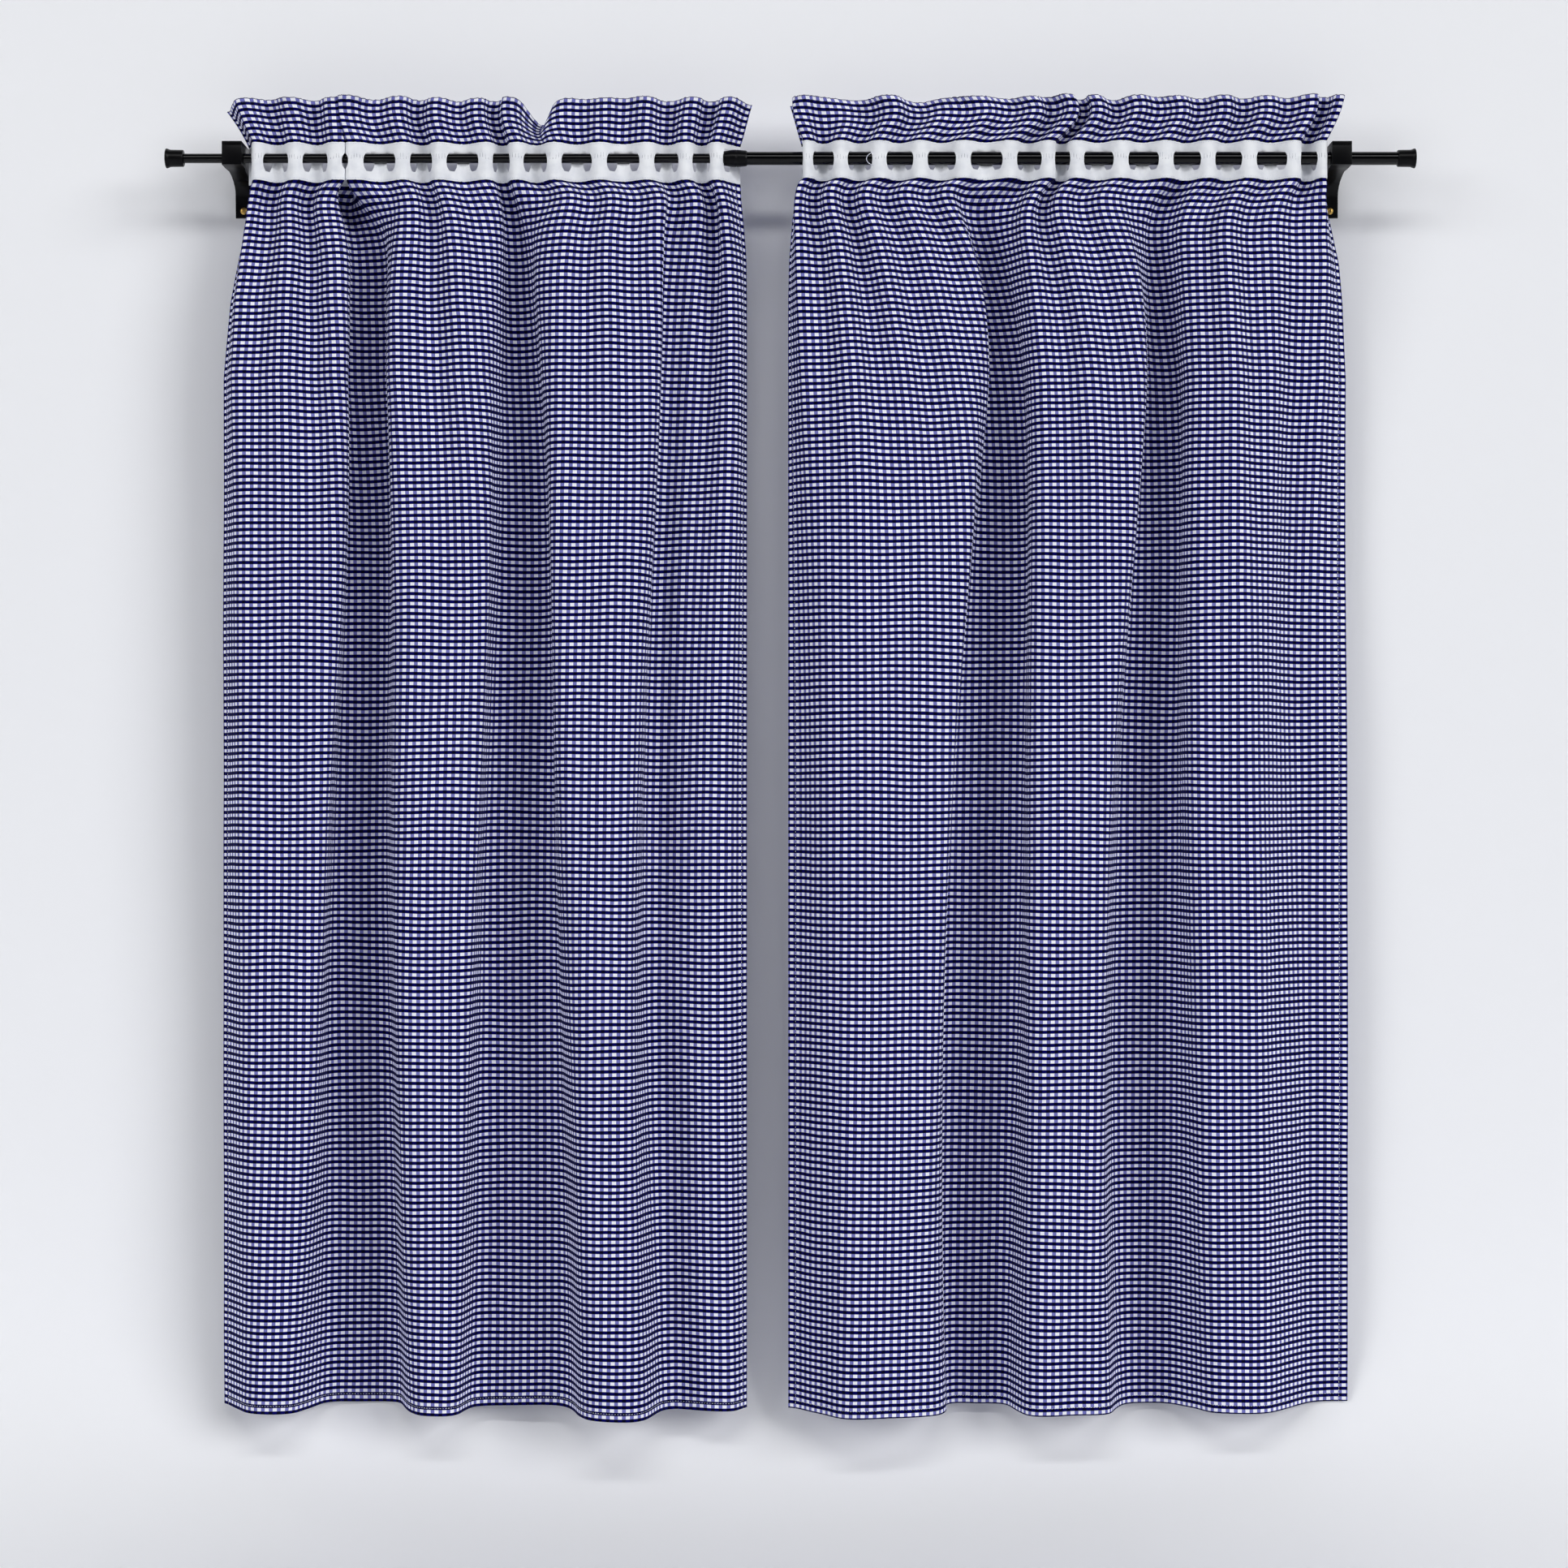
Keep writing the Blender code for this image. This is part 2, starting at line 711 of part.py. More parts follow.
def extruded_outline(name, outline, width):
    """A mesh of a side outline given in (Y, Z), as thick as width along X."""
    curve = bpy.data.curves.new(name, "CURVE")
    curve.dimensions = "2D"
    curve.fill_mode = "BOTH"
    curve.extrude = width / 2
    spline = curve.splines.new("POLY")
    spline.points.add(len(outline) - 1)
    for point, (across, height) in zip(spline.points, outline):
        point.co = (across, height, 0.0, 1.0)
    spline.use_cyclic_u = True
    guide = bpy.data.objects.new(name, curve)
    bpy.context.scene.collection.objects.link(guide)
    bpy.context.view_layer.update()
    mesh = bpy.data.meshes.new_from_object(guide.evaluated_get(
        bpy.context.evaluated_depsgraph_get()))
    bpy.data.objects.remove(guide, do_unlink=True)
    shape = bmesh.new()
    shape.from_mesh(mesh)
    bmesh.ops.remove_doubles(shape, verts=shape.verts, dist=MERGE_DISTANCE)
    bmesh.ops.dissolve_limit(shape, angle_limit=math.radians(1), verts=shape.verts,
                             edges=shape.edges)
    for vertex in shape.verts:
        across, height, along = vertex.co
        vertex.co = (along, across, height)
    bmesh.ops.recalc_face_normals(shape, faces=shape.faces)
    shape.to_mesh(mesh)
    shape.free()
    mesh.shade_flat()
    return mesh


def build_bracket(side, across, bore, collection, cutters, material):
    """A wall bracket: wall plate, gusset and the block that the rod runs through."""
    name = f"{side}_bracket"
    mesh = extruded_outline(name, bracket_outline(), BLOCK_WIDTH)
    for vertex in mesh.vertices:
        if vertex.co.z < BLOCK_BOTTOM - GAP:
            vertex.co.x *= FOOT_WIDTH / BLOCK_WIDTH
    item = add_object(name, mesh, collection, material)
    item.location = (across, -ROD_OUT, 0.0)
    rod_hole = cylinder_cutter(f"{side}_rod_hole", bore + GAP, 2 * BLOCK_WIDTH,
                               (across, -ROD_OUT, 0.0), (0.0, math.pi / 2, 0.0), cutters)
    screw_hole = cylinder_cutter(f"{side}_screw_hole", SCREW_SHANK_RADIUS + GAP,
                                 4 * PLATE_THICKNESS, (across, 0.0, -SCREW_DROP),
                                 (math.pi / 2, 0.0, 0.0), cutters)
    cut(item, rod_hole)
    cut(item, screw_hole)
    return item


def build_screw(side, across, collection, cutters, material):
    """The cross-head screw through the bracket's foot; its shank ends just inside the plate."""
    name = f"{side}_screw"
    head = PLATE_THICKNESS + GAP
    profile = [(GAP, 0.0), (GAP, SCREW_SHANK_RADIUS), (head, SCREW_SHANK_RADIUS)]
    profile += [(head + SCREW_HEAD_HEIGHT * rise, SCREW_HEAD_RADIUS * reach)
                for rise, reach in SCREW_DOME]
    profile.append((head + SCREW_HEAD_HEIGHT, 0.0))
    item = turned_piece(name, profile, collection, material)
    item.rotation_euler = (-math.pi / 2, 0.0, 0.0)
    item.location = (across, 0.0, -SCREW_DROP)
    face = -(head + SCREW_HEAD_HEIGHT)
    for turn, size in (("level", (SCREW_SLOT_LENGTH, 2 * SCREW_SLOT_DEPTH, SCREW_SLOT_WIDTH)),
                       ("upright", (SCREW_SLOT_WIDTH, 2 * SCREW_SLOT_DEPTH, SCREW_SLOT_LENGTH))):
        slot = box_cutter(f"{side}_slot_{turn}", size, (across, face, -SCREW_DROP), cutters)
        cut(item, slot)
    return item


def main():
    """Build the pair of curtains with its rod and brackets."""
    clear_scene()
    collection = new_collection(COLLECTION_NAME)
    cutters = new_collection(CUTTER_COLLECTION_NAME)
    for curtain in CURTAINS:
        gingham = make_material(f"{curtain.side} gingham", GINGHAM_NAVY, 0.9)
        frill = make_material(f"{curtain.side} frill gingham", GINGHAM_NAVY, 0.9)
        tape = make_material(f"{curtain.side} loop tape", TAPE_WHITE, 0.85)
        build_panel(curtain, collection, gingham)
        build_tape(curtain, collection, tape)
        build_frill(curtain, collection, frill)
    build_rod(collection, make_material("rod enamel", ROD_BLACK, 0.25))
    build_collar(collection, make_material("collar plastic", PLASTIC_BLACK, 0.45))
    for side, sign, bore in (("left", -1, INNER_RADIUS), ("right", 1, OUTER_RADIUS)):
        end = ROD_LEFT_END if sign < 0 else ROD_RIGHT_END
        plastic = make_material(f"{side} cap plastic", PLASTIC_BLACK, 0.4)
        build_end_cap(side, end, -sign, bore, collection, plastic)
        body = make_material(f"{side} bracket plastic", PLASTIC_BLACK, 0.4)
        build_bracket(side, sign * BRACKET_X, bore, collection, cutters, body)
        brass = make_material(f"{side} screw brass", BRASS, 0.35, 1.0)
        build_screw(side, sign * BRACKET_X, collection, cutters, brass)


main()
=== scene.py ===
"""Dresses a pair of gingham cafe curtains that hang from a black extending rod.

Metres, +Z up, +X to the right as one faces the wall, the room at -Y. The origin lies on the wall,
midway between the two brackets and level with the rod's axis. Every cloth follows the same plan
curve as its solid, at a finer step, with its hems, stitches, weave and small creases added.
"""

import logging
import math
from dataclasses import dataclass, field
from enum import Enum

import bmesh
import bpy
import numpy as np
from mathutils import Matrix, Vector


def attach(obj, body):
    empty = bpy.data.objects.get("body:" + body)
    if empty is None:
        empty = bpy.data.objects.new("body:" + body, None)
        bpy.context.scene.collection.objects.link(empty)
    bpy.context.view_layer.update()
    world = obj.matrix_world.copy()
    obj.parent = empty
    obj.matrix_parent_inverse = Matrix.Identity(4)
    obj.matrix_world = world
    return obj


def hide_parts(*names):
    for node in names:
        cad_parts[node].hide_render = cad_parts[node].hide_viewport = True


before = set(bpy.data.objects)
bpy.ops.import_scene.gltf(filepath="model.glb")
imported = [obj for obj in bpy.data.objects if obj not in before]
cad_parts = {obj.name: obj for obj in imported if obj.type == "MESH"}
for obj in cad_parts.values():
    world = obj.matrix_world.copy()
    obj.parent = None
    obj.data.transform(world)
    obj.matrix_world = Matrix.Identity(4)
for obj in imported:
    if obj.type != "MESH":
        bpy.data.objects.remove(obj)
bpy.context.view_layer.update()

LOG = logging.getLogger("cafe_curtains")
BODY = "root"
UV_NAME = "Checks"
FULL_TURN = 2 * math.pi
STITCH_LIFT = 0.00005
NAVY_STITCH_LIFT = 0.00003


class Facing(Enum):
    """Which side of the rod a strap of the tape passes on, as a sign along Y."""

    FRONT = -1
    BACK = 1


class Slot(Enum):
    """Names of the material slots."""

    GINGHAM = "gingham_cloth"
    TAPE = "loop_tape"
    ENAMEL = "rod_enamel"
    PLASTIC = "black_plastic"
    BRASS = "screw_brass"


# Small tools for node trees and meshes


class Graph:
    """A node tree being built, with short ways to add and join nodes."""

    def __init__(self, tree: bpy.types.NodeTree) -> None:
        """Start on a tree.

        Args:
            tree: The node tree to add to.
        """
        self.tree = tree

    def add(self, kind: str, inputs: dict | None = None, **settings) -> bpy.types.Node:
        """Add a node.

        Args:
            kind: The node's type name.
            inputs: Values or output sockets for its inputs, by name or index.
            **settings: Properties to set on the node.

        Returns:
            The new node.
        """
        node = self.tree.nodes.new(kind)
        for key, value in settings.items():
            setattr(node, key, value)
        for key, value in (inputs or {}).items():
            self.feed(node.inputs[key], value)
        return node

    def feed(self, socket: bpy.types.NodeSocket, value: object) -> None:
        """Give an input a value, or join an output to it.

        Args:
            socket: The input.
            value: A plain value or an output socket.
        """
        if isinstance(value, bpy.types.NodeSocket):
            self.tree.links.new(value, socket)
        else:
            socket.default_value = value

    def math(self, operation: str, *values: object) -> bpy.types.NodeSocket:
        """Add a Math node.

        Args:
            operation: Its operation.
            *values: Numbers or output sockets.

        Returns:
            Its output.
        """
        node = self.add("ShaderNodeMath", operation=operation)
        for socket, value in zip(node.inputs, values):
            self.feed(socket, value)
        return node.outputs[0]

    def mix(self, factor: object, first: object, second: object) -> bpy.types.NodeSocket:
        """Blend two colours.

        Args:
            factor: Share of the second one.
            first: A colour or output socket.
            second: A colour or output socket.

        Returns:
            The blended colour.
        """
        node = self.add("ShaderNodeMix", data_type="RGBA")
        for index, value in ((0, factor), (6, first), (7, second)):
            self.feed(node.inputs[index], value)
        return node.outputs[2]

    def ramp(self, value: object, low: float, high: float, start: float = 0.0,
             end: float = 1.0) -> bpy.types.NodeSocket:
        """Map a value smoothly from one range to another.

        Args:
            value: The value or output socket.
            low: The start of its range.
            high: The end of its range.
            start: The result at the start.
            end: The result at the end.

        Returns:
            The mapped value.
        """
        node = self.add("ShaderNodeMapRange", interpolation_type="SMOOTHSTEP")
        for index, item in enumerate((value, low, high, start, end)):
            self.feed(node.inputs[index], item)
        return node.outputs[0]

    def noise(self, vector: object, scale: float, detail: float = 2.0) -> bpy.types.NodeSocket:
        """Add a noise texture.

        Args:
            vector: Where it is read.
            scale: Its scale, per metre or per check.
            detail: Its detail.

        Returns:
            Its factor, about 0.5 on average.
        """
        node = self.add("ShaderNodeTexNoise", {"Vector": vector, "Scale": scale, "Detail": detail})
        return node.outputs[0]


def srgb(red: int, green: int, blue: int) -> tuple[float, float, float, float]:
    """An sRGB colour, 0 to 255, as linear light."""
    shares = [channel / 255 for channel in (red, green, blue)]
    light = [c / 12.92 if c <= 0.04045 else ((c + 0.055) / 1.055) ** 2.4 for c in shares]
    return (*light, 1.0)


def new_group(name: str, inputs: dict[str, float],
              outputs: tuple[str, ...]) -> tuple[bpy.types.NodeTree, Graph, dict, dict]:
    """Start a shader node group with named sockets, one of them a place, named Place.

    Args:
        name: The group's name.
        inputs: Default of each number that it takes.
        outputs: The numbers that it puts out.

    Returns:
        The tree, a graph on it, its inputs by name and its output sockets by name.
    """
    tree = bpy.data.node_groups.new(name, "ShaderNodeTree")
    tree.interface.new_socket("Place", in_out="INPUT", socket_type="NodeSocketVector")
    for key, value in inputs.items():
        socket = tree.interface.new_socket(key, in_out="INPUT", socket_type="NodeSocketFloat")
        socket.default_value = value
    for key in outputs:
        tree.interface.new_socket(key, in_out="OUTPUT", socket_type="NodeSocketFloat")
    graph = Graph(tree)
    taken = graph.add("NodeGroupInput")
    given = graph.add("NodeGroupOutput")
    return tree, graph, {s.name: s for s in taken.outputs}, {s.name: s for s in given.inputs}


def weave_group() -> bpy.types.NodeTree:
    """The plain weave of cloth: threads that go over and under each other.

    Returns:
        A group with Over, from 0 to 1, and Height, from 0 to 1.
    """
    tree, graph, taken, given = new_group("Plain weave", {"Threads": 10.0, "Slub": 0.3},
                                          ("Over", "Height"))
    place = graph.add("ShaderNodeSeparateXYZ", {0: taken["Place"]})
    uneven = graph.noise(taken["Place"], 3.0, 3.0)
    drift = graph.math("MULTIPLY", graph.math("SUBTRACT", uneven, 0.5), taken["Slub"])
    sway = graph.math("MULTIPLY", drift, 0.1)
    waves = []
    for axis in (0, 1):
        along = graph.math("ADD", place.outputs[axis], sway)
        counted = graph.math("MULTIPLY", along, taken["Threads"])
        waves.append(graph.math("MULTIPLY", counted, math.pi))
    over = graph.math("MULTIPLY", graph.math("COSINE", waves[0]), graph.math("COSINE", waves[1]))
    graph.feed(given["Over"], graph.math("MULTIPLY_ADD", over, 0.5, 0.5))
    ridges = graph.math("MULTIPLY", graph.math("SINE", waves[0]), graph.math("SINE", waves[1]))
    height = graph.math("MULTIPLY_ADD", graph.math("ABSOLUTE", ridges), 0.7, drift)
    graph.feed(given["Height"], height)
    return tree


def wear_group() -> bpy.types.NodeTree:
    """The small unevenness of a hard finish: flow marks, fine grain and dust.

    Returns:
        A group with Dust, Grain and Flow, each from 0 to 1.
    """
    tree, graph, taken, given = new_group("Hard finish wear", {"Scale": 60.0, "Dust": 0.3},
                                          ("Dust", "Grain", "Flow"))
    flow = graph.noise(taken["Place"], 22.0, 3.0)
    node = graph.add("ShaderNodeTexNoise", {"Vector": taken["Place"], "Detail": 4.0})
    graph.feed(node.inputs["Scale"], graph.math("MULTIPLY", taken["Scale"], 20.0))
    specks = graph.add("ShaderNodeTexVoronoi", {"Vector": taken["Place"], "Scale": 420.0})
    dots = graph.ramp(specks.outputs["Distance"], 0.12, 0.02)
    patches = graph.ramp(flow, 0.52, 0.68)
    dust = graph.math("MULTIPLY", graph.math("MULTIPLY", dots, patches), taken["Dust"])
    graph.feed(given["Dust"], dust)
    graph.feed(given["Grain"], node.outputs[0])
    graph.feed(given["Flow"], flow)
    return tree


@dataclass(frozen=True)
class Finish:
    """What every material has: a name and its plain shader values."""

    name: str
    roughness: float
    slot: Slot
    metallic: float = 0.0
    specular: float = 0.5
    sheen: float = 0.0

    def start(self) -> tuple[bpy.types.Material, Graph, bpy.types.Node]:
        """Make the material with its Principled shader.

        Returns:
            The material, a graph on its tree and its shader node.
        """
        material = bpy.data.materials.new(self.name)
        material.use_nodes = True
        shader = material.node_tree.nodes["Principled BSDF"]
        for key, value in (("Roughness", self.roughness), ("Metallic", self.metallic),
                           ("Specular IOR Level", self.specular), ("Sheen Weight", self.sheen)):
            shader.inputs[key].default_value = value
        return material, Graph(material.node_tree), shader

    def bump(self, graph: Graph, shader: bpy.types.Node, height: object, strength: float,
             distance: float) -> None:
        """Feed a height to the shader's normal.

        Args:
            graph: The material's graph.
            shader: Its Principled shader.
            height: The height.
            strength: The bump's strength.
            distance: The height's size in metres.
        """
        node = graph.add("ShaderNodeBump", {"Strength": strength, "Distance": distance})
        graph.feed(node.inputs["Height"], height)
        graph.feed(shader.inputs["Normal"], node.outputs[0])


@dataclass(frozen=True)
class GinghamFinish(Finish):
    """Woven gingham: navy and white bands that cross, with a mixed tone where they meet.

    The UV map counts checks, columns along U and rows down V.
    """

    weave: bpy.types.NodeTree = None
    white: tuple = srgb(246, 247, 255)
    column_tone: tuple = srgb(116, 118, 190)
    row_tone: tuple = srgb(0, 0, 84)
    crossing: tuple = srgb(0, 0, 26)
    row_share: float = 0.51
    column_share: float = 0.48
    edge: float = 0.035
    wobble: float = 0.16
    threads: float = 12.0
    thread_contrast: float = 0.5
    least_shade: float = 0.95
    most_shade: float = 1.05

    def band(self, graph: Graph, along: object, share: float) -> bpy.types.NodeSocket:
        """One set of bands, 1 where it is navy and 0 where it is white.

        Args:
            graph: The material's graph.
            along: The count of checks, as an output socket.
            share: Share of each check that is navy.

        Returns:
            The bands.
        """
        place = graph.math("PINGPONG", along, 0.5)
        middle = share / 2
        return graph.ramp(place, middle + self.edge, middle - self.edge)

    def material(self) -> bpy.types.Material:
        """Make the material.

        Returns:
            The new material.
        """
        made, graph, shader = self.start()
        checks = graph.add("ShaderNodeUVMap", uv_map=UV_NAME).outputs[0]
        place = graph.add("ShaderNodeSeparateXYZ", {0: checks})
        drift = graph.math("SUBTRACT", graph.noise(checks, 0.3), 0.5)
        wobble = graph.math("MULTIPLY", drift, self.wobble)
        column = graph.math("ADD", place.outputs[0], wobble)
        shifted = graph.math("SUBTRACT", place.outputs[1], self.row_share / 2)
        row = graph.math("ADD", shifted, wobble)
        columns = self.band(graph, column, self.column_share)
        rows = self.band(graph, row, self.row_share)
        weave = graph.add("ShaderNodeGroup", node_tree=self.weave)
        graph.feed(weave.inputs["Place"], checks)
        weave.inputs["Threads"].default_value = self.threads
        light_row = graph.mix(columns, self.white, self.column_tone)
        dark_row = graph.mix(columns, self.row_tone, self.crossing)
        plain = graph.mix(rows, light_row, dark_row)
        over = graph.math("SUBTRACT", weave.outputs["Over"], 0.5)
        mixed = graph.math("MULTIPLY", over, self.thread_contrast)
        only_one = graph.math("ABSOLUTE", graph.math("SUBTRACT", columns, rows))
        threads = graph.math("MULTIPLY", mixed, only_one)
        lifted = graph.math("ADD", threads, 1.0)
        uneven = graph.noise(checks, 0.35, 3.0)
        broad_shade = graph.ramp(uneven, 0.2, 0.8, self.least_shade, self.most_shade)
        shade = graph.math("MULTIPLY", lifted, broad_shade)
        scaled = graph.add("ShaderNodeVectorMath", {0: plain}, operation="SCALE")
        graph.feed(scaled.inputs["Scale"], shade)
        graph.feed(shader.inputs["Base Color"], scaled.outputs[0])
        self.bump(graph, shader, weave.outputs["Height"], 0.45, 0.0002)
        return made


@dataclass(frozen=True)
class TapeFinish(Finish):
    """White woven tape with upright ribs; the short slits in its straps are painted shade."""

    weave: bpy.types.NodeTree = None
    white: tuple = srgb(250, 252, 255)
    shadow: tuple = srgb(176, 182, 200)
    rib: float = 0.0011
    slit_spacing: float = 0.0033
    slit_width: float = 0.0005
    slit_reach: float = 0.0006
    slit_reach_more: float = 0.0022
    slit_spread: float = 0.006
    slit_height: float = -0.001
    slit_shade: tuple = srgb(96, 100, 122)
    threads: float = 1900.0
    slub: float = 0.15

    def material(self) -> bpy.types.Material:
        """Make the material; its UV map is in metres across the tape and up it.

        Returns:
            The new material.
        """
        made, graph, shader = self.start()
        flat = graph.add("ShaderNodeUVMap", uv_map=UV_NAME).outputs[0]
        place = graph.add("ShaderNodeSeparateXYZ", {0: flat})
        across, up = place.outputs[0], place.outputs[1]
        weave = graph.add("ShaderNodeGroup", node_tree=self.weave)
        stretched = graph.add("ShaderNodeVectorMath", {0: flat, 1: (1.0, 0.6, 1.0)},
                              operation="MULTIPLY")
        graph.feed(weave.inputs["Place"], stretched.outputs[0])
        weave.inputs["Threads"].default_value = self.threads
        weave.inputs["Slub"].default_value = self.slub
        rib = graph.math("PINGPONG", across, self.rib / 2)
        rib_height = graph.math("DIVIDE", rib, self.rib / 2)
        slit = graph.ramp(graph.math("PINGPONG", across, self.slit_spacing / 2),
                          self.slit_width, self.slit_width * 0.4)
        cell = graph.math("FLOOR", graph.math("DIVIDE", across, self.slit_spacing))
        chance = graph.add("ShaderNodeTexWhiteNoise", noise_dimensions="1D")
        graph.feed(chance.inputs["W"], cell)
        reach = graph.math("MULTIPLY_ADD", chance.outputs["Value"], self.slit_reach_more,
                           self.slit_reach)
        place_up = graph.math("SUBTRACT", chance.outputs["Value"], 0.35)
        middle = graph.math("MULTIPLY_ADD", place_up, self.slit_spread, self.slit_height)
        off = graph.math("ABSOLUTE", graph.math("SUBTRACT", up, middle))
        near = graph.math("LESS_THAN", off, reach)
        dashes = graph.ramp(graph.math("PINGPONG", up, 0.0005), 0.0001, 0.0003)
        open_slit = graph.math("MULTIPLY", graph.math("MULTIPLY", slit, near), dashes)
        uneven = graph.noise(flat, 60.0, 3.0)
        cloth = graph.mix(graph.ramp(uneven, 0.35, 0.75, 0.0, 0.22), self.white, self.shadow)
        ribbed = graph.mix(graph.math("MULTIPLY", rib_height, 0.12), cloth, self.shadow)
        # Painted shade: each slit is mixed towards a dark blue-grey, the shade seen through it.
        cut = graph.mix(graph.math("MULTIPLY", open_slit, 0.75), ribbed, self.slit_shade)
        graph.feed(shader.inputs["Base Color"], cut)
        height = graph.math("SUBTRACT", graph.math("MULTIPLY_ADD", weave.outputs["Height"], 0.5,
                                                   rib_height), open_slit)
        self.bump(graph, shader, height, 0.5, 0.0002)
        return made


@dataclass(frozen=True)
class ThreadFinish(Finish):
    """Sewing thread of one colour, a little uneven along its length."""

    colour: tuple = srgb(238, 240, 248)
    other: tuple = srgb(190, 195, 214)

    def material(self) -> bpy.types.Material:
        """Make the material.

        Returns:
            The new material.
        """
        made, graph, shader = self.start()
        place = graph.add("ShaderNodeTexCoord").outputs["Object"]
        twist = graph.noise(place, 900.0, 1.0)
        graph.feed(shader.inputs["Base Color"],
                   graph.mix(graph.ramp(twist, 0.3, 0.7), self.colour, self.other))
        self.bump(graph, shader, twist, 0.4, 0.0001)
        return made


@dataclass(frozen=True)
class HardFinish(Finish):
    """Enamel, moulded plastic or brass, with fine grain, flow marks and a little dust."""

    wear: bpy.types.NodeTree = None
    colour: tuple = srgb(10, 10, 12)
    worn: tuple = srgb(30, 30, 34)
    dust_colour: tuple = srgb(120, 120, 128)
    dust: float = 0.25
    grain: float = 0.06
    grain_scale: float = 60.0
    bump_strength: float = 0.1

    def material(self) -> bpy.types.Material:
        """Make the material.

        Returns:
            The new material.
        """
        made, graph, shader = self.start()
        place = graph.add("ShaderNodeTexCoord").outputs["Object"]
        wear = graph.add("ShaderNodeGroup", node_tree=self.wear)
        graph.feed(wear.inputs["Place"], place)
        wear.inputs["Scale"].default_value = self.grain_scale
        wear.inputs["Dust"].default_value = self.dust
        base = graph.mix(graph.ramp(wear.outputs["Flow"], 0.35, 0.75, 0.0, 0.5), self.colour,
                         self.worn)
        graph.feed(shader.inputs["Base Color"],
                   graph.mix(wear.outputs["Dust"], base, self.dust_colour))
        varied = graph.math("MULTIPLY_ADD", wear.outputs["Grain"], self.grain,
                            self.roughness - self.grain / 2)
        graph.feed(shader.inputs["Roughness"],
                   graph.math("MULTIPLY_ADD", wear.outputs["Dust"], 0.4, varied))
        self.bump(graph, shader, wear.outputs["Grain"], self.bump_strength, 0.00005)
        return made


# Meshes


def add_piece(name: str, mesh: bpy.types.Mesh, material: bpy.types.Material) -> bpy.types.Object:
    """Put a mesh into the scene as a piece of the object.

    Args:
        name: The piece's name.
        mesh: Its mesh, in place.
        material: Its material.

    Returns:
        The new object, riding on the one body.
    """
    mesh.materials.clear()
    mesh.materials.append(material)
    piece = bpy.data.objects.new(name, mesh)
    bpy.context.scene.collection.objects.link(piece)
    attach(piece, BODY)
    LOG.info("%s: %d faces", name, len(mesh.polygons))
    return piece


def evaluated_mesh(item: bpy.types.Object) -> bpy.types.Mesh:
    """A plain mesh of an object as its modifiers make it; the object is removed.

    Args:
        item: The object, which isn't a piece yet.

    Returns:
        The new mesh.
    """
    bpy.context.view_layer.update()
    graph = bpy.context.evaluated_depsgraph_get()
    mesh = bpy.data.meshes.new_from_object(item.evaluated_get(graph))
    bpy.data.objects.remove(item, do_unlink=True)
    return mesh


@dataclass
class SheetGrid:
    """A sheet of cloth as a grid of points, top row first, with open cells where it is cut.

    Args:
        points: Places, rows by columns by three.
        checks: The UV of each point.
        thickness: The thickness at each point.
        open_cells: Cells that aren't cloth, or None.
    """

    points: np.ndarray
    checks: np.ndarray
    thickness: np.ndarray
    open_cells: np.ndarray | None = None

    def corners(self) -> np.ndarray:
        """The four corners of each cell that is cloth, seen from the room.

        Returns:
            An array of point indices, four to a row.
        """
        rows, columns = self.points.shape[:2]
        index = np.arange(rows * columns).reshape(rows, columns)
        cells = np.stack((index[:-1, :-1], index[1:, :-1], index[1:, 1:], index[:-1, 1:]), axis=2)
        if self.open_cells is None:
            return cells.reshape(-1, 4)
        return cells[~self.open_cells]

    def normals(self) -> np.ndarray:
        """The direction towards the room at each point, square to the cloth.

        Returns:
            An array of unit vectors.
        """
        places = self.points.reshape(-1, 3)
        cells = self.corners()
        a, b, c, d = (places[cells[:, k]] for k in range(4))
        faces = np.cross(c - a, d - b)
        total = np.zeros_like(places)
        for k in range(4):
            np.add.at(total, cells[:, k], faces)
        length = np.maximum(np.linalg.norm(total, axis=1), 1e-12)[:, None]
        return total / length

    def front(self, row: object, column: object, lift: float = 0.0) -> np.ndarray:
        """Points on the cloth's front, in a row or a column of the grid.

        Args:
            row: A row's index, or a slice.
            column: A column's index, or a slice.
            lift: How far off the cloth.

        Returns:
            The points.
        """
        normals = self.normals().reshape(self.points.shape)
        lifted = self.points + normals * (self.thickness[..., None] / 2 + lift)
        return lifted[row, column]

    def mesh(self, name: str) -> bpy.types.Mesh:
        """The closed sheet, front, back and rims.

        Args:
            name: The mesh's name.

        Returns:
            The new mesh, with its UV map.
        """
        places = self.points.reshape(-1, 3)
        half = self.normals() * self.thickness.reshape(-1, 1) / 2
        cells = self.corners()
        count = len(places)
        sides = {(int(a), int(b)) for k in range(4)
                 for a, b in zip(cells[:, k], cells[:, (k + 1) % 4])}
        rims = [(b, a, a + count, b + count) for a, b in sorted(sides) if (b, a) not in sides]
        back = cells[:, ::-1] + count
        faces = cells.tolist() + back.tolist() + rims
        mesh = bpy.data.meshes.new(name)
        both = np.concatenate((places + half, places - half))
        mesh.from_pydata(both.tolist(), [], faces)
        uvs = np.concatenate((self.checks.reshape(-1, 2),) * 2)
        layer = mesh.uv_layers.new(name=UV_NAME)
        corner_points = np.zeros(len(mesh.loops), dtype=np.int32)
        mesh.loops.foreach_get("vertex_index", corner_points)
        layer.data.foreach_set("uv", uvs[corner_points].astype(np.float32).ravel())
        mesh.shade_smooth()
        mesh.set_sharp_from_angle(angle=math.radians(60))
        shape = bmesh.new()
        shape.from_mesh(mesh)
        loose = [vertex for vertex in shape.verts if not vertex.link_faces]
        bmesh.ops.delete(shape, geom=loose, context="VERTS")
        shape.to_mesh(mesh)
        shape.free()
        return mesh


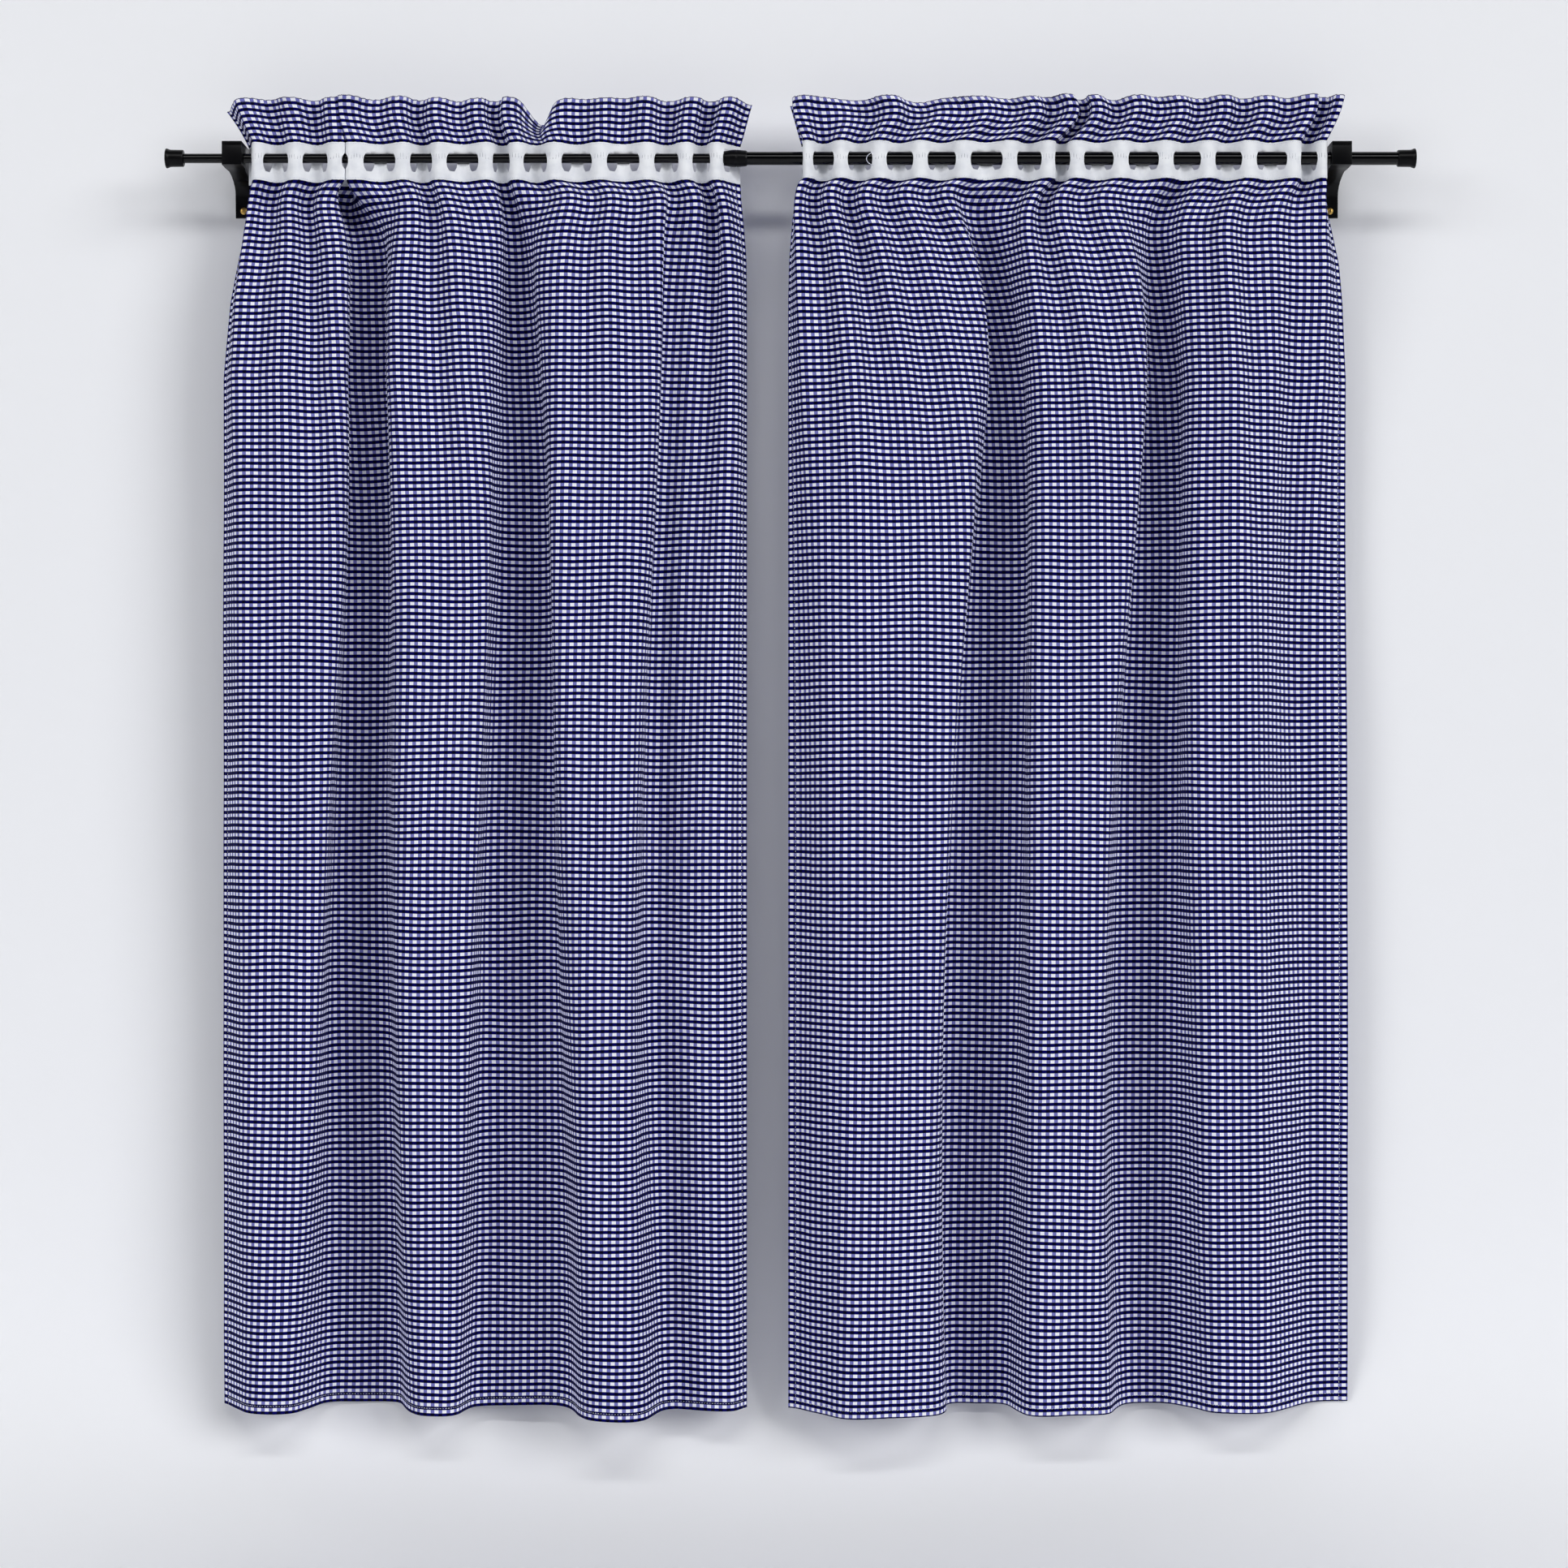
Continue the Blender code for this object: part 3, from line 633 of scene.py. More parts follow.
def turned_mesh(name: str, profile: list, steps: int = 72) -> bpy.types.Mesh:
    """Turn a profile about the rod's axis.

    Args:
        name: The mesh's name.
        profile: (X, radius) points; a run that leaves the axis ends on it, any other closes.
        steps: Corners round the axis.

    Returns:
        The new mesh, in place.
    """
    shape = bmesh.new()
    corners = [shape.verts.new((across, -RodSizes.out, radius)) for across, radius in profile]
    sides = list(zip(corners[:-1], corners[1:]))
    if profile[0][1] > 0:
        sides.append((corners[-1], corners[0]))
    edges = [shape.edges.new(side) for side in sides]
    bmesh.ops.spin(shape, geom=corners + edges, cent=(0, -RodSizes.out, 0), axis=(1, 0, 0),
                   angle=FULL_TURN, steps=steps, use_merge=True)
    bmesh.ops.remove_doubles(shape, verts=shape.verts, dist=1e-6)
    bmesh.ops.recalc_face_normals(shape, faces=shape.faces)
    mesh = bpy.data.meshes.new(name)
    shape.to_mesh(mesh)
    shape.free()
    mesh.shade_smooth()
    mesh.set_sharp_from_angle(angle=math.radians(35))
    return mesh


def path_mesh(name: str, paths: list[np.ndarray]) -> bpy.types.Object:
    """An object of loose edges along some paths, for a geometry tree to follow.

    Args:
        name: Its name.
        paths: Runs of points.

    Returns:
        The object, linked to the scene.
    """
    points, edges = [], []
    for path in paths:
        first = len(points)
        points += [tuple(point) for point in path]
        edges += [(first + k, first + k + 1) for k in range(len(path) - 1)]
    mesh = bpy.data.meshes.new(name)
    mesh.from_pydata(points, edges, [])
    item = bpy.data.objects.new(name, mesh)
    bpy.context.scene.collection.objects.link(item)
    return item


# Geometry trees


class ThreadTree:
    """A geometry tree that sets a small thread at even steps along paths.

    Its inputs are Pitch, Length, Thickness, Upright, Spread, Seed and Material. Upright turns each
    thread from along the path, at 0, to straight up, at 1.
    """

    SOCKETS = (("Pitch", "NodeSocketFloat"), ("Length", "NodeSocketFloat"),
               ("Thickness", "NodeSocketFloat"), ("Upright", "NodeSocketFloat"),
               ("Spread", "NodeSocketFloat"), ("Seed", "NodeSocketInt"),
               ("Material", "NodeSocketMaterial"))

    def __init__(self) -> None:
        """Build the tree."""
        tree = bpy.data.node_groups.new("Threads on a path", "GeometryNodeTree")
        tree.interface.new_socket("Geometry", in_out="INPUT", socket_type="NodeSocketGeometry")
        for name, kind in self.SOCKETS:
            tree.interface.new_socket(name, in_out="INPUT", socket_type=kind)
        tree.interface.new_socket("Geometry", in_out="OUTPUT", socket_type="NodeSocketGeometry")
        graph = Graph(tree)
        taken = graph.add("NodeGroupInput").outputs
        curve = graph.add("GeometryNodeMeshToCurve", {"Mesh": taken["Geometry"]})
        even = graph.add("GeometryNodeResampleCurve", {"Curve": curve.outputs[0],
                                                       "Length": taken["Pitch"]}, mode="LENGTH")
        tangent = graph.add("GeometryNodeInputTangent").outputs[0]
        bead = graph.add("GeometryNodeMeshUVSphere", {"Segments": 6, "Rings": 4, "Radius": 0.5})
        smooth = graph.add("GeometryNodeSetShadeSmooth", {0: bead.outputs["Mesh"]})
        lean = graph.add("FunctionNodeRandomValue", data_type="FLOAT_VECTOR")
        graph.feed(lean.inputs["Seed"], taken["Seed"])
        graph.feed(lean.inputs[0], (-1.0, -1.0, -1.0))
        graph.feed(lean.inputs[1], (1.0, 1.0, 1.0))
        off = graph.add("ShaderNodeVectorMath", {0: lean.outputs[0]}, operation="SCALE")
        graph.feed(off.inputs["Scale"], taken["Spread"])
        way = graph.add("ShaderNodeMix", {1: (0.0, 0.0, 1.0)}, data_type="VECTOR")
        graph.feed(way.inputs[0], taken["Upright"])
        graph.feed(way.inputs[4], tangent)
        graph.feed(way.inputs[5], (0.0, 0.0, 1.0))
        aimed = graph.add("ShaderNodeVectorMath", {0: way.outputs[1], 1: off.outputs[0]},
                          operation="ADD")
        turn = graph.add("FunctionNodeAlignRotationToVector", {"Vector": aimed.outputs[0]},
                         axis="Z")
        size = graph.add("ShaderNodeCombineXYZ", {0: taken["Thickness"], 1: taken["Thickness"],
                                                  2: taken["Length"]})
        vary = graph.add("FunctionNodeRandomValue", data_type="FLOAT")
        graph.feed(vary.inputs["Seed"], taken["Seed"])
        graph.feed(vary.inputs[2], 0.82)
        graph.feed(vary.inputs[3], 1.15)
        scale = graph.add("ShaderNodeVectorMath", {0: size.outputs[0]}, operation="SCALE")
        graph.feed(scale.inputs["Scale"], vary.outputs[1])
        placed = graph.add("GeometryNodeInstanceOnPoints",
                           {"Points": even.outputs[0], "Instance": smooth.outputs[0],
                            "Rotation": turn.outputs[0], "Scale": scale.outputs[0]})
        real = graph.add("GeometryNodeRealizeInstances", {0: placed.outputs[0]})
        dressed = graph.add("GeometryNodeSetMaterial", {0: real.outputs[0],
                                                        "Material": taken["Material"]})
        out = graph.add("NodeGroupOutput")
        graph.feed(out.inputs[0], dressed.outputs[0])
        self.tree = tree

    def run(self, name: str, paths: list[np.ndarray], **inputs: object) -> bpy.types.Mesh:
        """Lay threads along paths.

        Args:
            name: The mesh's name.
            paths: Runs of points.
            **inputs: The tree's inputs, by name with a capital.

        Returns:
            The mesh of all the threads.
        """
        item = path_mesh(name, paths)
        modifier = item.modifiers.new("Threads", "NODES")
        modifier.node_group = self.tree
        for socket in self.tree.interface.items_tree:
            if socket.in_out == "INPUT" and socket.name in inputs:
                modifier[socket.identifier] = inputs[socket.name]
        return evaluated_mesh(item)

    def piece(self, name: str, paths: list[np.ndarray], material: bpy.types.Material, slot: Slot,
              **inputs: object) -> bpy.types.Object:
        """Lay threads along paths as a piece of the object.

        Args:
            name: The piece's name.
            paths: Runs of points.
            material: The thread's material.
            slot: Its slot; not used.
            **inputs: The tree's other inputs, by name with a capital.

        Returns:
            The piece.
        """
        mesh = self.run(name, paths, Material=material, **inputs)
        return add_piece(name, mesh, material)


# How the cloth hangs


@dataclass(frozen=True)
class Section:
    """Where a curtain's two side edges hang, at a drop below the rod."""

    drop: float
    left: float
    right: float


@dataclass(frozen=True)
class Flank:
    """One slope of a long fold, by its flat place, half its flat width and its turn in degrees.

    Its place is given near the top, at the middle and near the hem. A turn above 0 comes forward.
    Growth is how far below the tape the slope takes shape.
    """

    top: float
    middle: float
    hem: float
    half_top: float
    half_hem: float
    turn_top: float
    turn_hem: float
    growth: float = 0.12
    drops: tuple = (0.10, 0.65, 1.45)

    def place(self, drop: float) -> float:
        """Where its middle is, on a smooth curve through its three places.

        Args:
            drop: The drop below the rod.

        Returns:
            The flat place.
        """
        high, mid, low = self.drops
        return (self.top * (drop - mid) * (drop - low) / ((high - mid) * (high - low))
                + self.middle * (drop - high) * (drop - low) / ((mid - high) * (mid - low))
                + self.hem * (drop - high) * (drop - mid) / ((low - high) * (low - mid)))


@dataclass(frozen=True)
class Lean:
    """A stretch of the frill whose top edge leans back towards the wall, or forward if minus.

    Its top edge may sag as well.
    """

    at: float
    half: float
    back: float
    sag: float = 0.0


@dataclass(frozen=True)
class RodSizes:
    """The extending rod: its place, its two tubes, the collar between them and the caps."""

    out: float = 0.078
    left_end: float = -0.7575
    right_end: float = 0.7665
    thin: float = 0.00575
    thick: float = 0.008
    collar_left: float = -0.077
    collar_right: float = -0.0485
    collar_end: float = 0.0088
    collar_mid: float = 0.0104
    collar_meet: float = 0.55
    cap_length: float = 0.0225
    cap_neck: float = 0.0102
    cap_flare: float = 0.012
    cap_flare_length: float = 0.007
    gap: float = 0.0003


@dataclass(frozen=True)
class Cut:
    """A curtain as it is cut, and its tape of loops as it is woven."""

    width: float = 0.950
    hem_drop: float = 1.526
    frill: float = 0.055
    lap: float = 0.004
    straps: int = 14
    pitch: float = 0.0665
    front_strap: float = 0.020
    back_strap: float = 0.019
    band: float = 0.0115
    window: float = 0.0225
    rod_rest: float = 0.0004
    strap_rest: float = 0.0011
    crest_out: float = 0.0108
    column: float = 0.0096
    frill_row: float = 0.00775
    side_hem: float = 0.0105
    bottom_hem: float = 0.0095
    cloth: float = 0.0007
    tape: float = 0.0009
    tape_forward: float = 0.0009

    @property
    def margin(self) -> float:
        """Flat place of the middle of the first front strap."""
        return (self.width - (self.straps - 1) * self.pitch) / 2


@dataclass(frozen=True)
class Curtain:
    """One curtain of the pair, as it hangs."""

    side: str
    carriers: tuple
    rod_radius: float
    first_strap: float
    gaps: tuple
    pleat: int
    opened: tuple
    sections: tuple
    flanks: tuple
    leans: tuple
    flare_left: float
    flare_right: float
    frill_crests: tuple
    hem_rows: float
    seed: int


CUT = Cut()
ROD = RodSizes()

# Each gap is from the middle of a front strap to the next that shows. The pleat is a gap that
# holds one more strap, drawn back behind the rod. In the opened gaps, the tape's waves give way to
# a long fold right below the tape.
CURTAINS = (
    Curtain(
        side="left", carriers=("rod_inner", "rod_collar"), rod_radius=ROD.thin,
        first_strap=-0.646, pleat=2, opened=(2, 3, 6, 7), flare_left=-0.025, flare_right=0.016,
        hem_rows=187.46, seed=11,
        gaps=(0.048, 0.048, 0.026, 0.057, 0.044, 0.057, 0.037, 0.046, 0.055, 0.058, 0.047, 0.038),
        frill_crests=(-0.640, -0.589, -0.5535, -0.5205, -0.462, -0.417, -0.373, -0.328, -0.262,
                      -0.219, -0.178, -0.117, -0.080),
        sections=(
            Section(0.000, -0.660, -0.057), Section(0.045, -0.660, -0.056),
            Section(0.075, -0.665, -0.053), Section(0.115, -0.673, -0.050),
            Section(0.172, -0.683, -0.0495), Section(0.265, -0.691, -0.0495),
            Section(1.526, -0.693, -0.0495),
        ),
        flanks=(
            Flank(0.020, 0.027, 0.035, 0.030, 0.048, 40, 56),
            Flank(0.223, 0.195, 0.171, 0.030, 0.046, -80, -62, 0.035),
            Flank(0.327, 0.315, 0.336, 0.034, 0.050, 72, 66, 0.035),
            Flank(0.513, 0.485, 0.461, 0.030, 0.036, -79, -68, 0.035),
            Flank(0.591, 0.617, 0.648, 0.033, 0.056, 74, 64, 0.035),
            Flank(0.802, 0.778, 0.795, 0.036, 0.046, -66, -67, 0.08),
            Flank(0.860, 0.860, 0.860, 0.030, 0.045, 24, 18),
            Flank(0.935, 0.937, 0.940, 0.026, 0.026, -40, -56),
        ),
        leans=(
            Lean(0.000, 0.030, -0.010, 0.011), Lean(0.140, 0.030, 0.004),
            Lean(0.330, 0.050, -0.006), Lean(0.480, 0.022, 0.007, 0.002),
            Lean(0.622, 0.024, 0.040, 0.004), Lean(0.674, 0.020, 0.006), Lean(0.875, 0.022, 0.005),
            Lean(0.950, 0.024, 0.000, 0.004),
        ),
    ),
    Curtain(
        side="right", carriers=("rod_outer",), rod_radius=ROD.thick, first_strap=0.0235,
        pleat=-1, opened=(4, 5, 8, 9, 12), flare_left=-0.014, flare_right=0.016,
        hem_rows=187.2, seed=23,
        gaps=(0.042, 0.047, 0.050, 0.052, 0.057, 0.047, 0.034, 0.054, 0.055, 0.051, 0.050, 0.055,
              0.036),
        frill_crests=(0.034, 0.108, 0.198, 0.268, 0.317, 0.357, 0.404, 0.457, 0.516, 0.571,
                      0.616, 0.6535),
        sections=(
            Section(0.000, 0.0185, 0.6595), Section(0.045, 0.0125, 0.6595),
            Section(0.070, 0.007, 0.668), Section(0.123, 0.003, 0.680),
            Section(0.172, 0.002, 0.685), Section(0.265, 0.002, 0.690),
            Section(1.526, 0.002, 0.6935),
        ),
        flanks=(
            Flank(0.030, 0.040, 0.050, 0.040, 0.052, 36, 44),
            Flank(0.170, 0.170, 0.170, 0.040, 0.040, -8, -14),
            Flank(0.328, 0.262, 0.249, 0.031, 0.042, -78, -70, 0.035),
            Flank(0.412, 0.401, 0.394, 0.034, 0.044, 72, 64, 0.035),
            Flank(0.624, 0.568, 0.562, 0.032, 0.048, -74, -60, 0.035),
            Flank(0.702, 0.695, 0.701, 0.034, 0.044, 70, 52, 0.035),
            Flank(0.828, 0.841, 0.855, 0.045, 0.056, -40, -44),
        ),
        leans=(
            Lean(0.000, 0.026, 0.000, 0.003), Lean(0.225, 0.024, 0.008, 0.002),
            Lean(0.345, 0.030, 0.009), Lean(0.420, 0.020, -0.007),
            Lean(0.545, 0.026, 0.011), Lean(0.690, 0.022, 0.005), Lean(0.750, 0.022, 0.006),
            Lean(0.900, 0.030, -0.006),
            Lean(0.950, 0.030, 0.000, 0.004),
        ),
    ),
)


@dataclass(frozen=True)
class Ripple:
    """A smooth, seeded unevenness over a sheet, mostly from -1 to 1."""

    seed: int
    across: float
    along: float
    waves: int = 7

    def at(self, flat: np.ndarray, drop: object) -> np.ndarray:
        """Its value at flat places and drops.

        Args:
            flat: Places across the cloth.
            drop: Places down the cloth.

        Returns:
            The values.
        """
        draw = np.random.default_rng(self.seed)
        total = np.zeros(np.broadcast(flat, drop).shape)
        for _ in range(self.waves):
            wide, tall = draw.uniform(0.6, 1.5, 2)
            phase = draw.uniform(0.0, FULL_TURN)
            way = draw.choice((-1.0, 1.0))
            total += np.sin(FULL_TURN * (wide * flat / self.across + way * tall * drop / self.along)
                            + phase)
        return total / self.waves ** 0.5


@dataclass
class Hang:
    """The plan curve of one curtain at any drop below the rod.

    The curve is worked out from the angle of the cloth at each place across its flat width. The
    loops' waves fade below the tape, and the long folds take over.
    """

    curtain: Curtain
    step: float = 0.0005
    soft_wave: float = 0.8
    square_wave: float = 4.0
    steepest_wave: float = 2.1
    wave_fade: float = 0.24
    tight_fade: float = 0.035
    pleat_ledge: float = 0.42
    drift_power: float = 1.5
    flank_power: int = 4
    balance_drop: float = 0.5
    crease_turn: float = 0.13
    crease_fade: float = 0.55
    flat: np.ndarray = field(init=False)
    waves: np.ndarray = field(init=False)
    tight: np.ndarray = field(init=False)

    def __post_init__(self) -> None:
        """Work out the waves along the tape once, and those of the opened gaps."""
        self.flat = np.linspace(0.0, CUT.width, round(CUT.width / self.step) + 1)
        edges = self.curtain.sections[0]
        places = self.strap_places()
        self.waves = self.wave_turns(places, edges.left, edges.right, self.curtain.pleat)
        narrow = np.zeros(len(self.flat), dtype=bool)
        for index in self.curtain.opened:
            narrow |= (self.flat >= places[index][0]) & (self.flat <= places[index + 1][0])
        self.tight = np.where(narrow, self.waves, 0.0)

    @property
    def tape_bottom(self) -> float:
        """Height of the tape's lower edge."""
        return self.curtain.rod_radius + CUT.rod_rest - CUT.window - CUT.band

    @property
    def tape_top(self) -> float:
        """Height of the tape's upper edge."""
        return self.curtain.rod_radius + CUT.rod_rest + CUT.band

    def strap_places(self) -> list[tuple[float, float]]:
        """Where the front straps that show are.

        Returns:
            The flat place and the X of the middle of each.
        """
        flat, across = CUT.margin, self.curtain.first_strap
        places = [(flat, across)]
        for index, gap in enumerate(self.curtain.gaps):
            flat += CUT.pitch * (2 if index == self.curtain.pleat else 1)
            across += gap
            places.append((flat, across))
        return places

    @staticmethod
    def wave_shape(phase: np.ndarray, squareness: float, ledge: float = 0.0) -> np.ndarray:
        """A wave from -1 to 1 that goes back after each strap and comes forward to the next.

        Args:
            phase: Where in the wave, in radians.
            squareness: How soon it is steep.
            ledge: Sine of the phase up to which it stays level.

        Returns:
            The wave.
        """
        swing = np.sin(phase)
        past = np.sign(swing) * np.maximum(np.abs(swing) - ledge, 0.0) / (1 - ledge)
        return -np.tanh(squareness * past) / math.tanh(squareness)

    @staticmethod
    def solve_rising(low: float, high: float, too_small: object) -> float:
        """Find where a test changes from true to false.

        Args:
            low: A value that is too small.
            high: A value that is large enough.
            too_small: The test of a value.

        Returns:
            The value at the change.
        """
        for _ in range(40):
            middle = (low + high) / 2
            if too_small(middle):
                low = middle
            else:
                high = middle
        return (low + high) / 2

    def wave_turns(self, places: list[tuple[float, float]], left: float, right: float,
                   pleat: int = -1) -> np.ndarray:
        """Angle of the cloth, in radians, for waves with their crests at some places.

        Args:
            places: Flat place and X of each crest.
            left: X of the left edge.
            right: X of the right edge.
            pleat: Index of the wave that is a sharp pleat, or -1.

        Returns:
            The angle at each flat place.
        """
        first, last = places[0], places[-1]
        cells = [(-first[0], first[0], 2 * (first[1] - left), self.square_wave, 0.0)]
        for index, (start, end) in enumerate(zip(places[:-1], places[1:])):
            form = (self.square_wave, self.pleat_ledge) if index == pleat else (
                self.soft_wave, 0.0)
            cells.append((start[0], end[0], end[1] - start[1], *form))
        cells.append((last[0], 2 * CUT.width - last[0], 2 * (right - last[1]),
                      self.square_wave, 0.0))
        turns = np.zeros_like(self.flat)
        ring = np.linspace(0.0, FULL_TURN, 241)
        for start, end, width, squareness, ledge in cells:
            shape = self.wave_shape(ring, squareness, ledge)
            wanted = width / (end - start)
            steepest = self.solve_rising(0.0, self.steepest_wave,
                                         lambda turn: np.cos(turn * shape).mean() > wanted)
            inside = (self.flat >= start) & (self.flat <= end)
            phase = FULL_TURN * (self.flat[inside] - start) / (end - start)
            turns[inside] = steepest * self.wave_shape(phase, squareness, ledge)
        return turns

    def frill_waves(self) -> np.ndarray:
        """The waves of the frill's top edge, whose crests are its own.

        Returns:
            The angle, in radians, at each flat place.
        """
        edges = self.curtain.sections[0]
        straps = [(0.0, edges.left), *self.strap_places(), (CUT.width, edges.right)]
        flats, acrosses = zip(*straps)
        places = [(float(np.interp(across, acrosses, flats)), across)
                  for across in self.curtain.frill_crests]
        return self.wave_turns(places, edges.left, edges.right, self.curtain.pleat)

    def fold_turns(self, drop: float) -> np.ndarray:
        """The long folds, which take shape below the tape and drift on their way down.

        Args:
            drop: The drop below the rod.

        Returns:
            The angle, in radians, at each flat place.
        """
        drift = (drop / CUT.hem_drop) ** self.drift_power
        below = max(drop + self.tape_bottom, 0.0)
        turns = np.zeros_like(self.flat)
        for flank in self.curtain.flanks:
            turn = flank.turn_top + (flank.turn_hem - flank.turn_top) * drift
            half = flank.half_top + (flank.half_hem - flank.half_top) * drift
            away = (self.flat - flank.place(drop)) / half
            grown = 1 - math.exp(-below / flank.growth)
            turns += grown * math.radians(turn) * np.exp(-away ** self.flank_power)
        return turns

    def crease_turns(self, drop: float) -> np.ndarray:
        """The small creases below the tape, which run down and fade.

        Args:
            drop: The drop below the rod.

        Returns:
            The angle, in radians, at each flat place.
        """
        wide = Ripple(self.curtain.seed, 0.085, 1.9).at(self.flat, drop)
        fine = Ripple(self.curtain.seed + 1, 0.040, 0.9).at(self.flat, drop)
        below = max(drop + self.tape_bottom, 0.0)
        rise = 1 - math.exp(-below / 0.05)
        return rise * self.crease_turn * (
            wide * (0.45 + math.exp(-below / self.crease_fade)) + fine * math.exp(-below / 0.3))

    def run_sum(self, values: np.ndarray) -> np.ndarray:
        """Running integral over the flat steps."""
        middles = (values[1:] + values[:-1]) / 2
        return np.concatenate(([0.0], np.cumsum(middles) * self.step))

    def curve(self, turns: np.ndarray, left: float, right: float) -> tuple[np.ndarray, np.ndarray]:
        """The curve of some angles, all made weaker or stronger so that it spans a width.

        Args:
            turns: The angle at each flat place.
            left: X of the left edge.
            right: X of the right edge.

        Returns:
            The X values, and the Y values about their mean.
        """
        wanted = (right - left) / CUT.width
        strength = self.solve_rising(0.2, 1.8, lambda k: np.cos(k * turns).mean() > wanted)
        across = left + self.run_sum(np.cos(strength * turns))
        back = -self.run_sum(np.sin(strength * turns))
        return across, back - back.mean()

    def behind(self) -> float:
        """How far the middle of the tape's waves lies behind the rod's axis."""
        at_tape = -self.run_sum(np.sin(self.waves))
        crest = np.interp(CUT.margin, self.flat, at_tape)
        return float(at_tape.mean() - crest - CUT.crest_out)

    def at(self, drop: float) -> tuple[np.ndarray, np.ndarray]:
        """X and Y of the cloth at each flat place, at a drop below the rod.

        Args:
            drop: The drop; 0 is anywhere on the tape.

        Returns:
            The X values and the Y values.
        """
        below = max(drop + self.tape_bottom, 0.0)
        turns = (self.waves - self.tight) * math.exp(-below / self.wave_fade)
        turns += self.tight * math.exp(-below / self.tight_fade)
        turns += self.fold_turns(drop) + self.crease_turns(drop)
        edge_drop = drop if below > 0 else 0.0
        rows = self.curtain.sections
        drops = [row.drop for row in rows]
        left = float(np.interp(edge_drop, drops, [row.left for row in rows]))
        right = float(np.interp(edge_drop, drops, [row.right for row in rows]))
        across, back = self.curve(turns, left, right)
        hang = self.behind() * max(1 - below / self.balance_drop, 0.0)
        return across, back + hang - ROD.out

    def points(self, columns: np.ndarray, drop: float, forward: float = 0.0) -> np.ndarray:
        """X and Y at some flat places, moved square to the cloth towards the room.

        Args:
            columns: The flat places.
            drop: The drop below the rod.
            forward: How far to move them.

        Returns:
            An array of pairs.
        """
        across, back = self.at(drop)
        run_x, run_y = np.gradient(across, self.step), np.gradient(back, self.step)
        across = across + forward * run_y
        back = back - forward * run_x
        return np.column_stack((np.interp(columns, self.flat, across),
                                np.interp(columns, self.flat, back)))


# The cloth pieces


@dataclass
class Panel:
    """The tall gingham panel of a curtain, from its lap behind the tape to its hem."""

    hang: Hang
    gingham: bpy.types.Material
    thread: bpy.types.Material
    stitches: ThreadTree
    columns: int = 274
    spans: tuple = ((0.080, 0.004), (0.280, 0.007), (1.6, 0.0115))
    hem_extra: float = 0.0006
    ripple: float = 0.0011
    row_wander: float = 0.0006
    growth: float = 0.04

    def drops(self) -> np.ndarray:
        """Where the panel's rows lie, closer together where its shape changes sooner.

        Returns:
            The drops below the tape's lower edge.
        """
        length = CUT.hem_drop + self.hang.tape_bottom
        places, start = [0.0], 0.0
        for end, step in self.spans:
            end = min(end, length - CUT.bottom_hem)
            count = max(round((end - start) / step), 1)
            places += list(np.linspace(start, end, count + 1)[1:])
            start = end
        places += [length - CUT.bottom_hem + 0.0015, length - CUT.bottom_hem / 2, length - 0.001,
                   length]
        return np.array(places)

    def grid(self) -> SheetGrid:
        """The panel's grid, lap first.

        Returns:
            The grid.
        """
        length = CUT.hem_drop + self.hang.tape_bottom
        inner = np.linspace(CUT.side_hem, CUT.width - CUT.side_hem, self.columns - 8)
        ends = np.array([0.0, 0.001, 0.005, CUT.side_hem - 0.0015])
        columns = np.concatenate((ends, inner, CUT.width - ends[::-1]))
        below = np.concatenate(([-CUT.lap, -CUT.lap / 2], self.drops()))
        seed = self.hang.curtain.seed
        broad, small = Ripple(seed + 2, 0.16, 0.42), Ripple(seed + 3, 0.05, 0.13)
        rows = []
        for down in below:
            drop = max(down, 0.0) - self.hang.tape_bottom if down > 0 else 0.0
            plan = self.hang.points(columns, drop)
            grown = 1 - math.exp(-max(down, 0.0) / self.growth)
            plan[:, 1] += grown * self.ripple * (broad.at(columns, down)
                                                 + 0.25 * small.at(columns, down))
            height = (self.hang.tape_bottom - down
                      + grown * self.row_wander * broad.at(columns + 0.3, down))
            rows.append(np.column_stack((plan, np.broadcast_to(height, len(columns)))))
        row_count = below / length * self.hang.curtain.hem_rows
        checks = np.stack(np.meshgrid(columns / CUT.column, row_count), axis=2)
        in_hem = (columns < CUT.side_hem - 0.001) | (columns > CUT.width - CUT.side_hem + 0.001)
        low_hem = below > length - CUT.bottom_hem + 0.001
        thick = CUT.cloth + self.hem_extra * (in_hem[None, :] | low_hem[:, None])
        return SheetGrid(np.array(rows), checks, thick)

    def build(self) -> bpy.types.Object:
        """Returns:
            The panel.
        """
        side = self.hang.curtain.side
        grid = self.grid()
        panel = add_piece(f"{side}_panel_cloth", grid.mesh(f"{side}_panel_cloth"), self.gingham)
        paths = [grid.front(slice(3, None), 4, STITCH_LIFT),
                 grid.front(slice(3, None), -5, STITCH_LIFT),
                 grid.front(-5, slice(4, -4), STITCH_LIFT)]
        seams = self.stitches.piece(f"{side}_hem_stitches", paths, self.thread, Slot.TAPE,
                                    Pitch=0.0034, Length=0.0024, Thickness=0.00055,
                                    Upright=0.0, Spread=0.1, Seed=3)
        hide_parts(f"{side}_panel")
        return panel


